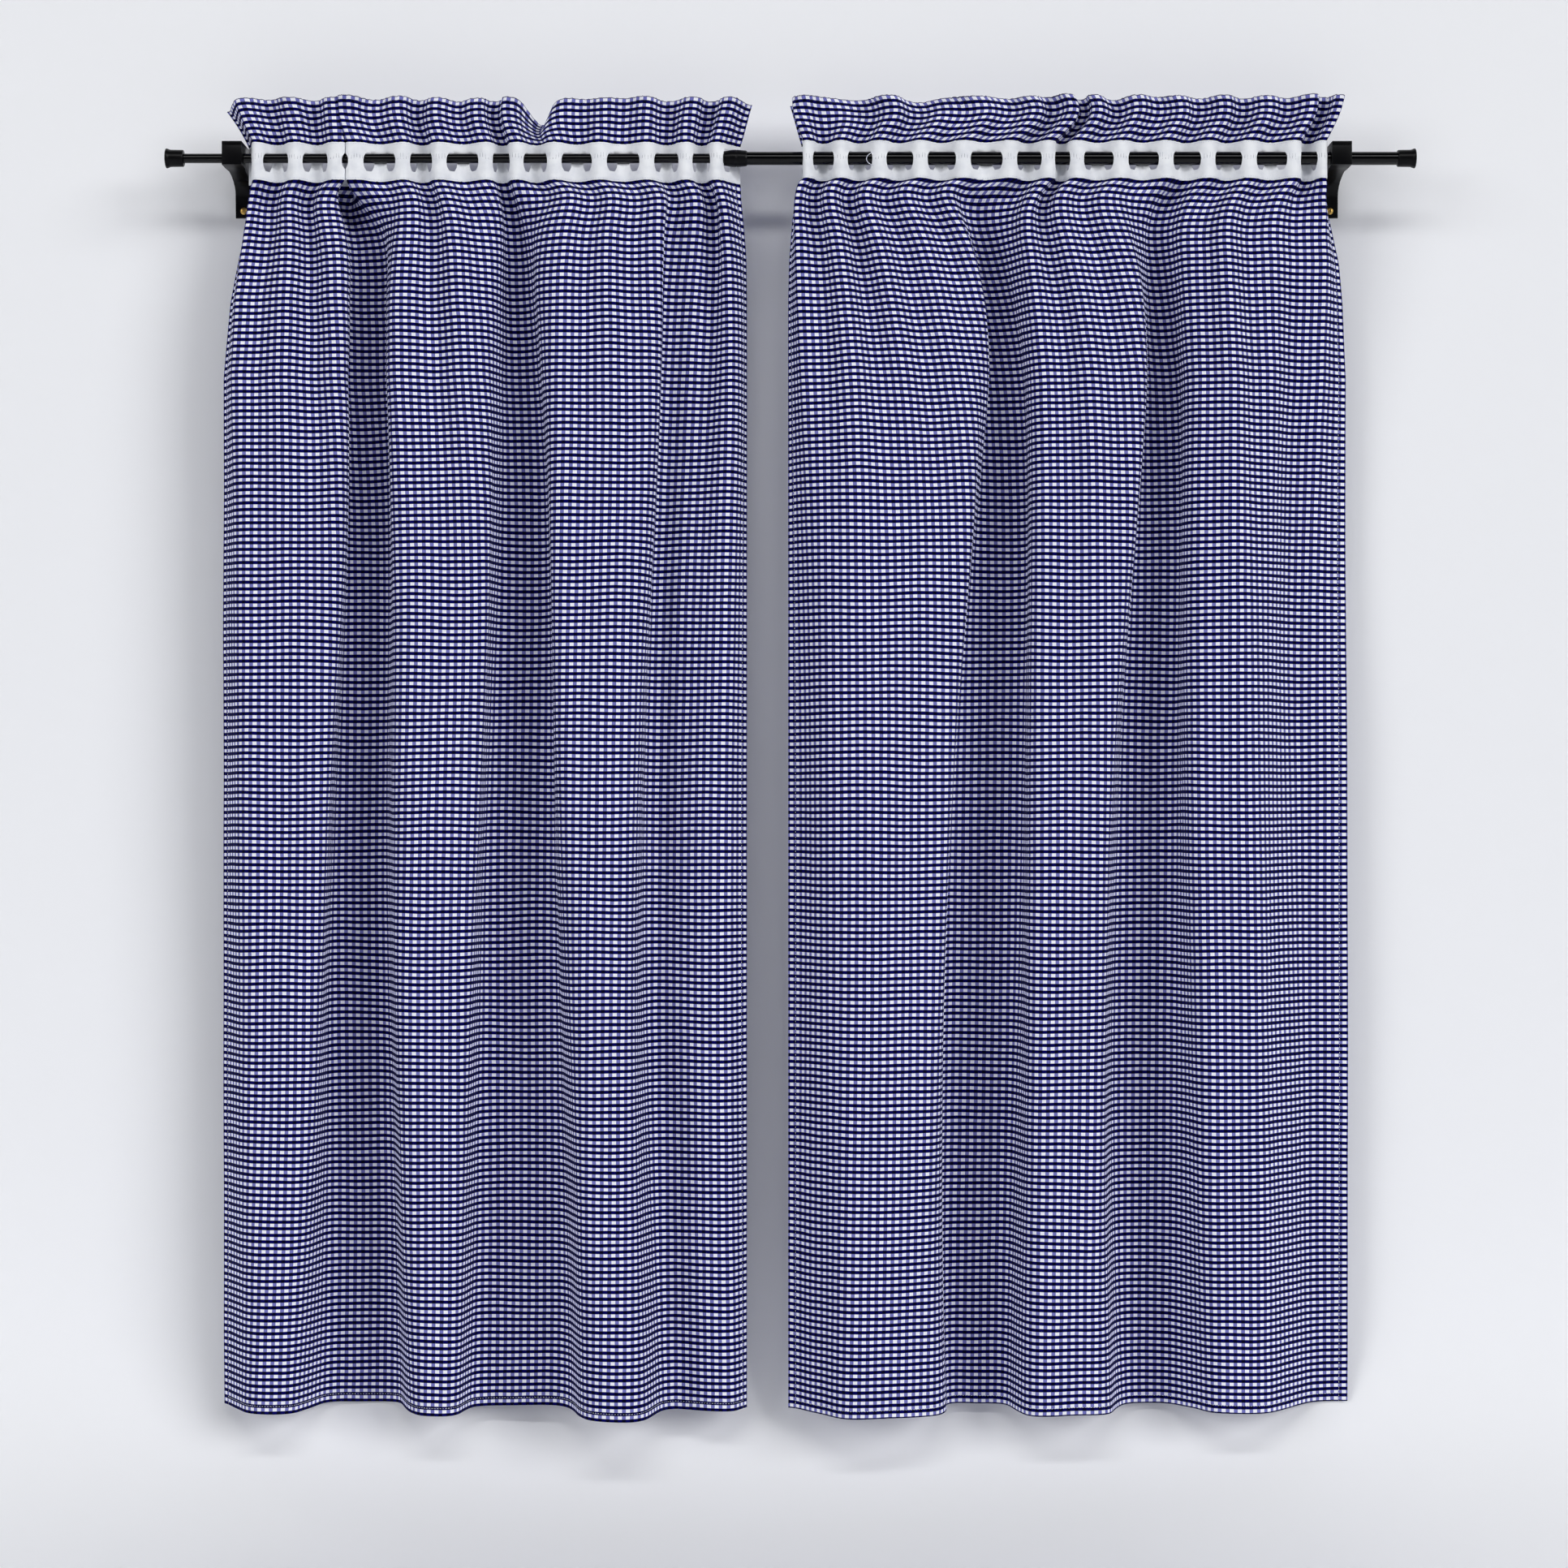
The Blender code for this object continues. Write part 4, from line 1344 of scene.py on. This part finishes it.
@dataclass
class LoopTape:
    """The white tape of loops, which goes in front of the rod and behind it by turns."""

    hang: Hang
    cloth: bpy.types.Material
    thread: bpy.types.Material
    stitches: ThreadTree
    strap_cells: int = 8
    window_cells: int = 4
    band_cells: int = 6
    tall_cells: int = 18
    waist: float = 0.0010
    flare: float = 0.0042
    flare_power: float = 2.6
    flare_fade: float = 0.0022
    fuzz: float = 0.0002
    edge_fuzz: float = 0.00025

    def strap_edges(self) -> list[tuple[float, float, float]]:
        """Where the straps are, front and back by turns.

        Returns:
            The start, end and middle of each by flat place.
        """
        straps = [(0.0, CUT.margin - CUT.pitch / 2 + CUT.back_strap / 2,
                   CUT.margin - CUT.pitch / 2)]
        for index in range(CUT.straps):
            front = CUT.margin + index * CUT.pitch
            back = front + CUT.pitch / 2
            straps.append((front - CUT.front_strap / 2, front + CUT.front_strap / 2, front))
            straps.append((back - CUT.back_strap / 2, back + CUT.back_strap / 2, back))
        start, _, middle = straps[-1]
        straps[-1] = (start, CUT.width, middle)
        return straps

    def facings(self) -> list[Facing]:
        """The side of the rod that each strap passes on; a pleat's are all behind it.

        Returns:
            The sides, in the order of strap_edges.
        """
        pleat = self.hang.curtain.pleat
        facings = [Facing.BACK]
        for index in range(CUT.straps):
            hidden = pleat >= 0 and index == pleat + 1
            facings += [Facing.BACK if hidden else Facing.FRONT, Facing.BACK]
        return facings

    def local_radius(self, across: np.ndarray) -> np.ndarray:
        """Radius of what the tape hangs on at each X, the collar included."""
        room = 0.006
        on_collar = (across > ROD.collar_left - room) & (across < ROD.collar_right + room)
        return np.where(on_collar, ROD.collar_mid, self.hang.curtain.rod_radius)

    def grid(self) -> SheetGrid:
        """The tape's grid with its windows open.

        Returns:
            The grid.
        """
        straps = self.strap_edges()
        edges = [value for start, end, _ in straps for value in (start, end)]
        columns, kinds = [edges[0]], []
        for index, (start, end) in enumerate(zip(edges[:-1], edges[1:])):
            cells = self.strap_cells if index % 2 == 0 else self.window_cells
            columns += list(np.linspace(start, end, cells + 1)[1:])
            kinds += [index] * cells
        columns, kinds = np.array(columns), np.array(kinds)
        tape = self.hang.points(columns, 0.0, CUT.tape_forward)
        radius = self.local_radius(tape[:, 0])
        rest = self.hang.curtain.rod_radius + CUT.rod_rest
        top, bottom = rest + CUT.band, rest - CUT.window - CUT.band
        shares = np.concatenate((np.linspace(-1.0, 0.0, self.band_cells + 1)[:-1],
                                 np.linspace(0.0, 1.0, self.tall_cells + 1),
                                 np.linspace(1.0, 2.0, self.band_cells + 1)[1:]))
        opening_top = radius + CUT.rod_rest
        fuzz = Ripple(self.hang.curtain.seed + 5, 0.013, 0.02)
        rows, uvs = [], []
        for share in shares:
            if share < 0:
                height = opening_top + (top - opening_top) * -share
            elif share <= 1:
                height = opening_top + (rest - CUT.window - opening_top) * share
            else:
                height = (rest - CUT.window) + (bottom - rest + CUT.window) * (share - 1)
            height = np.broadcast_to(height, len(columns))
            middle = abs(2 * min(max(share, 0.0), 1.0) - 1)
            off = max(-share, share - 1, 0.0) * CUT.band
            spread = (self.flare * middle ** self.flare_power - self.waist) * math.exp(
                -(off / self.flare_fade) ** 2)
            moved = [value for start, end, _ in straps
                     for value in (start - spread, end + spread)]
            moved[0], moved[-1] = edges[0], edges[-1]
            places = np.interp(columns, edges, moved)
            plan = self.hang.points(places, 0.0, CUT.tape_forward)
            plan[:, 1] += self.fuzz * fuzz.at(places, height)
            edge_fuzz = self.edge_fuzz * fuzz.at(places * 3, 0.0) * (share in (-1.0, 2.0))
            rows.append(np.column_stack((plan, height + edge_fuzz)))
            uvs.append(np.column_stack((places, height)))
        points = np.array(rows)
        self.bow_straps(points, kinds, radius)
        window_rows = (shares[:-1] >= 0) & (shares[:-1] < 1)
        cut = window_rows[:, None] & (kinds % 2 == 1)[None, :]
        thickness = np.full(points.shape[:2], CUT.tape)
        return SheetGrid(points, np.array(uvs), thickness, cut)

    def bow_straps(self, points: np.ndarray, kinds: np.ndarray, radius: np.ndarray) -> None:
        """Push each strap off the rod, in place.

        Args:
            points: The grid's points.
            kinds: The strap or window that each cell belongs to.
            radius: Radius of what the tape hangs on at each column.
        """
        for index, facing in enumerate(self.facings()):
            cells = np.flatnonzero(kinds == 2 * index)
            span = slice(cells[0], cells[-1] + 2)
            sign = facing.value
            clear = radius[span] + CUT.strap_rest
            out = (points[:, span, 1] + ROD.out) * sign
            need = np.sqrt(np.maximum(clear ** 2 - points[:, span, 2] ** 2, 0.0))
            near = np.abs(points[:, span, 2]) < clear
            points[:, span, 1] = np.where(near, np.maximum(out, need), out) * sign - ROD.out

    def build(self) -> bpy.types.Object:
        """Build the tape and the stitches that hold the panel and the frill to it.

        Returns:
            The tape.
        """
        side = self.hang.curtain.side
        grid = self.grid()
        tape = add_piece(f"{side}_tape_cloth", grid.mesh(f"{side}_tape_cloth"), self.cloth)
        paths = [grid.front(row, slice(2, -2), STITCH_LIFT) for row in (1, -2)]
        seams = self.stitches.piece(f"{side}_tape_stitches", paths, self.thread, Slot.TAPE,
                                    Pitch=0.0031, Length=0.0023, Thickness=0.0005,
                                    Upright=0.0, Spread=0.1, Seed=5)
        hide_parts(f"{side}_tape")
        return tape


@dataclass
class Frill:
    """The short frill above the tape, flared at its ends and leaning here and there."""

    hang: Hang
    gingham: bpy.types.Material
    navy: bpy.types.Material
    stitches: ThreadTree
    columns: int = 360
    rows: int = 24
    hem: float = 0.0055
    flare_power: int = 7
    crease: float = 0.0016
    shift_share: float = 0.7
    hem_extra: float = 0.0005
    sway: float = 0.0010
    row_wander: float = 0.0008
    ragged: float = 0.0004

    def grid(self) -> SheetGrid:
        """The frill's grid, its top edge first.

        Returns:
            The grid.
        """
        curtain = self.hang.curtain
        columns = np.linspace(0.0, CUT.width, self.columns)
        base = self.hang.points(columns, 0.0)
        edges, top_waves = curtain.sections[0], self.hang.frill_waves()
        share = (base[:, 0] - base[0, 0]) / (base[-1, 0] - base[0, 0])
        flare = (curtain.flare_left * (1 - share) ** self.flare_power
                 + curtain.flare_right * share ** self.flare_power)
        lean = sum(item.back * np.exp(-((columns - item.at) / item.half) ** 2)
                   for item in curtain.leans)
        sag = sum(item.sag * np.exp(-((columns - item.at) / item.half) ** 2)
                  for item in curtain.leans)
        near = Ripple(curtain.seed + 6, 0.034, 0.06)
        broad = Ripple(curtain.seed + 7, 0.11, 0.15)
        edge = Ripple(curtain.seed + 8, 0.0085, 0.02)
        heights = np.concatenate((np.linspace(1.0, 1 - self.hem / CUT.frill, 4),
                                  np.linspace(1 - self.hem / CUT.frill, 0.0, self.rows)[1:]))
        rows = []
        for part in heights:
            shift = self.shift_share * part
            turns = self.hang.waves * (1 - shift) + top_waves * shift
            across, back = self.hang.curve(turns, edges.left, edges.right)
            across = np.interp(columns, self.hang.flat, across)
            back = np.interp(columns, self.hang.flat, back) + self.hang.behind() - ROD.out
            across += flare * part + self.sway * part * broad.at(columns + 0.2, part * 0.05)
            back += lean * part ** 1.2 + self.crease * min(1.0, 4 * part) * (
                near.at(columns, part * CUT.frill) * (1.2 - part)
                + 2.0 * part * broad.at(columns, part * 0.05))
            up = self.hang.tape_top + np.sqrt((CUT.frill * part) ** 2 - (lean * part) ** 2)
            up += self.ragged * edge.at(columns, 0.0) * part ** 6 - sag * part ** 1.5
            up += self.row_wander * part * broad.at(columns + 0.5, 0.0)
            rows.append(np.column_stack((across, back, up)))
        for under in (0.5, 1.0):
            low = np.column_stack((base, np.full(len(columns),
                                                 self.hang.tape_top - CUT.lap * under)))
            rows.append(low)
        up = np.concatenate((heights * CUT.frill, [-CUT.lap / 2, -CUT.lap]))
        checks = np.stack(np.meshgrid(columns / CUT.column, up / CUT.frill_row), axis=2)
        thick = CUT.cloth + self.hem_extra * (up > CUT.frill - self.hem + 0.001)[:, None]
        return SheetGrid(np.array(rows), checks, np.broadcast_to(thick, checks.shape[:2]))

    def build(self) -> bpy.types.Object:
        """Build the frill, hem stitches and the navy fray of its top edge, also painted shade.

        Returns:
            The frill.
        """
        side = self.hang.curtain.side
        grid = self.grid()
        frill = add_piece(f"{side}_frill_cloth", grid.mesh(f"{side}_frill_cloth"), self.gingham)
        hem = self.stitches.piece(f"{side}_frill_stitches",
                                  [grid.front(3, slice(1, -1), NAVY_STITCH_LIFT)], self.navy,
                                  Slot.GINGHAM, Pitch=0.0032, Length=0.0026, Thickness=0.0005,
                                  Upright=0.0, Spread=0.08, Seed=8)
        # Painted shade: the all-navy fray makes a dark line along the folded top hem.
        edges = [grid.points[0], grid.points[:-2, 0], grid.points[:-2, -1]]
        fray_and_hem_shade = self.stitches.piece(f"{side}_frill_fray_and_hem_shade", edges, self.navy, Slot.GINGHAM,
                                   Pitch=0.0011, Length=0.0020, Thickness=0.0003,
                                   Upright=0.9, Spread=0.45, Seed=9)
        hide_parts(f"{side}_frill")
        return frill


@dataclass
class LooseThread:
    """A loop of thread that has worked loose beside one strap of the right tape."""

    thread: bpy.types.Material
    radius: float = 0.00045
    points: tuple = ((0.1052, -0.0905, 0.0050), (0.1005, -0.0918, 0.0035),
                     (0.0966, -0.0925, -0.0005), (0.0964, -0.0925, -0.0050),
                     (0.0990, -0.0918, -0.0090), (0.1048, -0.0905, -0.0110))

    def build(self) -> bpy.types.Object:
        """Build the loop.

        Returns:
            The piece.
        """
        curve = bpy.data.curves.new("loose_thread", "CURVE")
        curve.dimensions = "3D"
        curve.bevel_depth = self.radius
        curve.bevel_resolution = 3
        curve.resolution_u = 8
        curve.use_fill_caps = True
        spline = curve.splines.new("NURBS")
        spline.points.add(len(self.points) - 1)
        for point, place in zip(spline.points, self.points):
            point.co = (*place, 1.0)
        spline.use_endpoint_u = True
        spline.order_u = 4
        item = bpy.data.objects.new("loose_thread_guide", curve)
        bpy.context.scene.collection.objects.link(item)
        return add_piece("right_tape_loose_thread", evaluated_mesh(item), self.thread)


# The rod and what holds it


@dataclass
class RodSet:
    """The two tubes, the collar where one slides into the other, and the end caps."""

    enamel: bpy.types.Material
    plastic: bpy.types.Material
    edge: float = 0.0006
    cap_wall: float = 0.004

    def tube(self, node: str, radius: float, left: float, right: float) -> None:
        """One tube of the rod.

        Args:
            node: The solid that it stands for.
            radius: Its radius.
            left: X of its left end.
            right: X of its right end.
        """
        profile = [(left, 0.0), (left, radius - self.edge), (left + self.edge, radius),
                   (right - self.edge, radius), (right, radius - self.edge), (right, 0.0)]
        piece = add_piece(f"{node}_tube", turned_mesh(f"{node}_tube", profile), self.enamel)
        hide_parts(node)

    def collar(self) -> None:
        """The barrel-shaped collar, with a narrow lip at each end and a parting step."""
        left, right = ROD.collar_left, ROD.collar_right
        meet = left + (right - left) * ROD.collar_meet
        thin, thick = ROD.thin + ROD.gap, ROD.thick + ROD.gap
        lip = 0.0008
        outer = [(left + 2 * lip, ROD.collar_end)]
        for share in (0.2, 0.4, 0.6, 0.8, 0.92):
            across = left + 2 * lip + (meet - 4 * lip - left) * share
            swell = (ROD.collar_mid - ROD.collar_end) * math.sin(share * math.pi / 2)
            outer.append((across, ROD.collar_end + swell))
        profile = [(left, thin), (left, ROD.collar_end - lip),
                   (left + lip / 2, ROD.collar_end - lip / 4)]
        profile += outer
        profile += [(meet - lip, ROD.collar_mid), (meet - lip / 2, ROD.collar_mid - lip / 3),
                    (meet + lip / 2, ROD.collar_mid - lip / 3), (meet + lip, ROD.collar_mid),
                    (meet + 3 * lip, ROD.collar_mid - lip / 4),
                    (right - 3 * lip, ROD.collar_end + lip),
                    (right - lip, ROD.collar_end + lip / 2), (right, ROD.collar_end - lip / 4),
                    (right, thick), (meet - ROD.gap, thick), (meet - ROD.gap, thin)]
        piece = add_piece("rod_collar_moulding", turned_mesh("rod_collar_moulding", profile),
                          self.plastic)
        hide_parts("rod_collar")

    def cap(self, side: str, end: float, way: int, bore: float) -> None:
        """A flared end cap.

        Args:
            side: Left or right.
            end: X of its outer face.
            way: 1 or -1, from the face inwards.
            bore: Radius of the tube that it sits on.
        """
        wall, soft = self.cap_wall, 0.0012
        neck, flare, reach = ROD.cap_neck, ROD.cap_flare, ROD.cap_flare_length
        outline = [(0.0, 0.0), (0.0002, flare - 3 * soft), (0.0005, flare - 1.6 * soft),
                   (0.0008, flare - soft / 2), (soft * 1.2, flare)]
        for share in (0.25, 0.5, 0.75, 1.0):
            ease = 0.5 - 0.5 * math.cos(math.pi * share)
            outline.append((soft * 1.2 + (reach - soft * 1.2) * share,
                            flare - (flare - neck - 0.0002) * ease))
        outline += [(ROD.cap_length - soft, neck), (ROD.cap_length - soft / 3, neck - soft / 3),
                    (ROD.cap_length, neck - soft), (ROD.cap_length, bore + ROD.gap),
                    (wall, bore + ROD.gap), (wall, 0.0)]
        profile = [(end + way * depth, radius) for depth, radius in outline]
        name = f"{side}_end_cap_moulding"
        piece = add_piece(name, turned_mesh(name, profile), self.plastic)
        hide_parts(f"{side}_end_cap")

    def build(self) -> None:
        """Build the tubes, the collar and both caps."""
        meet = ROD.collar_left + (ROD.collar_right - ROD.collar_left) * ROD.collar_meet
        inside = self.cap_wall + ROD.gap
        self.tube("rod_inner", ROD.thin, ROD.left_end + inside, meet - ROD.gap / 2)
        self.tube("rod_outer", ROD.thick, meet + ROD.gap / 2, ROD.right_end - inside)
        self.collar()
        self.cap("left", ROD.left_end, 1, ROD.thin)
        self.cap("right", ROD.right_end, -1, ROD.thick)


@dataclass
class Bracket:
    """A wall bracket with its edges eased, and the brass screw in its foot."""

    side: str
    plastic: bpy.types.Material
    brass: bpy.types.Material
    bevel: float = 0.0007
    screw_bevel: float = 0.00012
    rounded_angle: float = 50
    smooth_angle: float = 40

    def eased_copy(self, node: str, width: float) -> bpy.types.Mesh:
        """A copy of a solid with its sharp edges rounded.

        Args:
            node: The solid.
            width: How wide the rounding is.

        Returns:
            The new mesh.
        """
        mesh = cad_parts[node].data.copy()
        shape = bmesh.new()
        shape.from_mesh(mesh)
        bmesh.ops.remove_doubles(shape, verts=shape.verts, dist=1e-6)
        bmesh.ops.dissolve_limit(shape, angle_limit=math.radians(1), verts=shape.verts,
                                 edges=shape.edges)
        shape.to_mesh(mesh)
        shape.free()
        item = bpy.data.objects.new(f"{node}_copy", mesh)
        bpy.context.scene.collection.objects.link(item)
        rounding = item.modifiers.new("Rounding", "BEVEL")
        rounding.width = width
        rounding.segments = 3
        rounding.limit_method = "ANGLE"
        rounding.angle_limit = math.radians(self.rounded_angle)
        rounding.use_clamp_overlap = True
        eased = evaluated_mesh(item)
        eased.shade_smooth()
        eased.set_sharp_from_angle(angle=math.radians(self.smooth_angle))
        return eased

    def build(self) -> None:
        """Build the bracket and its screw."""
        parts = ((f"{self.side}_bracket", self.plastic, Slot.PLASTIC, self.bevel),
                 (f"{self.side}_screw", self.brass, Slot.BRASS, self.screw_bevel))
        for node, material, slot, width in parts:
            piece = add_piece(f"{node}_eased", self.eased_copy(node, width), material)
            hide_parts(node)


# The room round it


@dataclass
class Studio:
    """A pale floor that curves up into a backdrop, soft lights and the camera."""

    camera_at: tuple = (-0.0035, -3.938, -0.7626)
    lens: float = 72.7
    floor_height: float = -1.70
    wall_back: float = 0.012
    bend: float = 0.30
    bend_steps: int = 12
    reach: float = 6.0
    wall_top: float = 3.5
    paint: tuple = srgb(249, 250, 253)
    sky: tuple = (0.84, 0.89, 1.0, 1.0)
    sky_strength: float = 0.06

    def backdrop(self) -> None:
        """The floor and backdrop in one curved sheet, open to a view from behind."""
        path = [(-self.reach, self.floor_height), (self.wall_back - self.bend, self.floor_height)]
        for step in range(1, self.bend_steps + 1):
            angle = math.pi / 2 * step / self.bend_steps
            path.append((self.wall_back - self.bend + self.bend * math.sin(angle),
                         self.floor_height + self.bend * (1 - math.cos(angle))))
        path.append((self.wall_back, self.wall_top))
        points = [(x, y, z) for y, z in path for x in (-self.reach, self.reach)]
        faces = [(2 * k, 2 * k + 1, 2 * k + 3, 2 * k + 2) for k in range(len(path) - 1)]
        mesh = bpy.data.meshes.new("backdrop")
        mesh.from_pydata(points, [], faces)
        mesh.shade_smooth()
        material = bpy.data.materials.new("Pale backdrop")
        material.use_nodes = True
        graph = Graph(material.node_tree)
        shader = material.node_tree.nodes["Principled BSDF"]
        shader.inputs["Base Color"].default_value = self.paint
        shader.inputs["Roughness"].default_value = 0.95
        face = graph.add("ShaderNodeNewGeometry").outputs["Backfacing"]
        shadow = graph.add("ShaderNodeLightPath").outputs["Is Shadow Ray"]
        behind = graph.math("MAXIMUM", face, shadow)
        clear = graph.add("ShaderNodeBsdfTransparent").outputs[0]
        both = graph.add("ShaderNodeMixShader", {0: behind, 1: shader.outputs[0], 2: clear})
        out = material.node_tree.nodes["Material Output"]
        graph.feed(out.inputs["Surface"], both.outputs[0])
        mesh.materials.append(material)
        item = bpy.data.objects.new("backdrop", mesh)
        bpy.context.scene.collection.objects.link(item)

    def light(self, name: str, place: tuple, target: tuple, size: tuple, power: float) -> None:
        """Add a soft rectangular light.

        Args:
            name: Its name.
            place: Where it is.
            target: What it points at.
            size: Its width and height.
            power: Its power in watts.
        """
        data = bpy.data.lights.new(name, "AREA")
        data.shape = "RECTANGLE"
        data.size, data.size_y = size
        data.energy = power
        item = bpy.data.objects.new(name, data)
        item.location = place
        item.rotation_euler = (Vector(target) - Vector(place)).to_track_quat("-Z", "Y").to_euler()
        bpy.context.scene.collection.objects.link(item)

    def sun(self, name: str, towards: tuple, strength: float, spread: float) -> None:
        """Add an even light from one direction.

        Args:
            name: Its name.
            towards: The direction that it comes from.
            strength: Its strength.
            spread: Its angular size in degrees.
        """
        data = bpy.data.lights.new(name, "SUN")
        data.energy = strength
        data.angle = math.radians(spread)
        item = bpy.data.objects.new(name, data)
        item.rotation_euler = Vector(towards).to_track_quat("Z", "Y").to_euler()
        bpy.context.scene.collection.objects.link(item)

    def build(self) -> None:
        """Set up the backdrop, the lights, the world and the camera."""
        self.backdrop()
        self.light("strip", place=(0.0, -3.1, 2.05), target=(0.0, -0.08, -0.5), size=(3.6, 0.40),
                   power=37)
        self.sun("key", towards=(2.8, -2.5, 1.3), strength=1.40, spread=28.0)
        self.sun("fill", towards=(-2.8, -2.5, 0.9), strength=0.83, spread=28.0)
        self.light("rear", place=(1.0, 3.6, 1.0), target=(0.0, -0.08, -0.6), size=(2.5, 2.0),
                   power=40)
        world = bpy.data.worlds.new("Soft room")
        world.use_nodes = True
        sky = world.node_tree.nodes["Background"]
        sky.inputs["Color"].default_value = self.sky
        sky.inputs["Strength"].default_value = self.sky_strength
        scene = bpy.context.scene
        scene.world = world
        scene.view_settings.view_transform = "Standard"
        lens = bpy.data.cameras.new("camera")
        lens.lens = self.lens
        lens.sensor_width = 36.0
        camera = bpy.data.objects.new("camera", lens)
        camera.location = self.camera_at
        camera.rotation_euler = (math.pi / 2, 0.0, 0.0)
        scene.collection.objects.link(camera)
        scene.camera = camera


def main() -> None:
    """Build every piece in order and report it."""
    logging.basicConfig(level=logging.INFO, format="%(name)s: %(message)s")
    weave, wear = weave_group(), wear_group()
    gingham = GinghamFinish("Gingham", 0.95, Slot.GINGHAM, sheen=0.02, specular=0.06,
                            weave=weave).material()
    tape = TapeFinish("Loop tape", 0.9, Slot.TAPE, sheen=0.08, specular=0.2,
                      weave=weave).material()
    thread = ThreadFinish("White thread", 0.7, Slot.TAPE, specular=0.3).material()
    navy = ThreadFinish("Navy thread", 0.75, Slot.GINGHAM, specular=0.25, colour=srgb(10, 10, 48),
                        other=srgb(58, 62, 116)).material()
    enamel = HardFinish("Gloss enamel", 0.05, Slot.ENAMEL, specular=0.32, wear=wear,
                        colour=srgb(3, 3, 4), worn=srgb(6, 6, 8), dust=0.03, grain=0.02,
                        bump_strength=0.02).material()
    plastic = HardFinish("Moulded plastic", 0.32, Slot.PLASTIC, specular=0.16, wear=wear,
                         colour=srgb(5, 5, 7), worn=srgb(12, 12, 14), dust=0.10, grain=0.14,
                         grain_scale=90.0, bump_strength=0.18).material()
    brass = HardFinish("Screw brass", 0.3, Slot.BRASS, metallic=1.0, wear=wear,
                       colour=srgb(240, 200, 112), worn=srgb(188, 140, 66), dust=0.06, grain=0.2,
                       dust_colour=srgb(90, 66, 40), bump_strength=0.15).material()
    stitches = ThreadTree()
    for curtain in CURTAINS:
        hang = Hang(curtain)
        LoopTape(hang, tape, thread, stitches).build()
        Panel(hang, gingham, thread, stitches).build()
        Frill(hang, gingham, navy, stitches).build()
    LooseThread(thread).build()
    RodSet(enamel, plastic).build()
    for side in ("left", "right"):
        Bracket(side, plastic, brass).build()
    Studio().build()


if __name__ == "__main__":
    main()
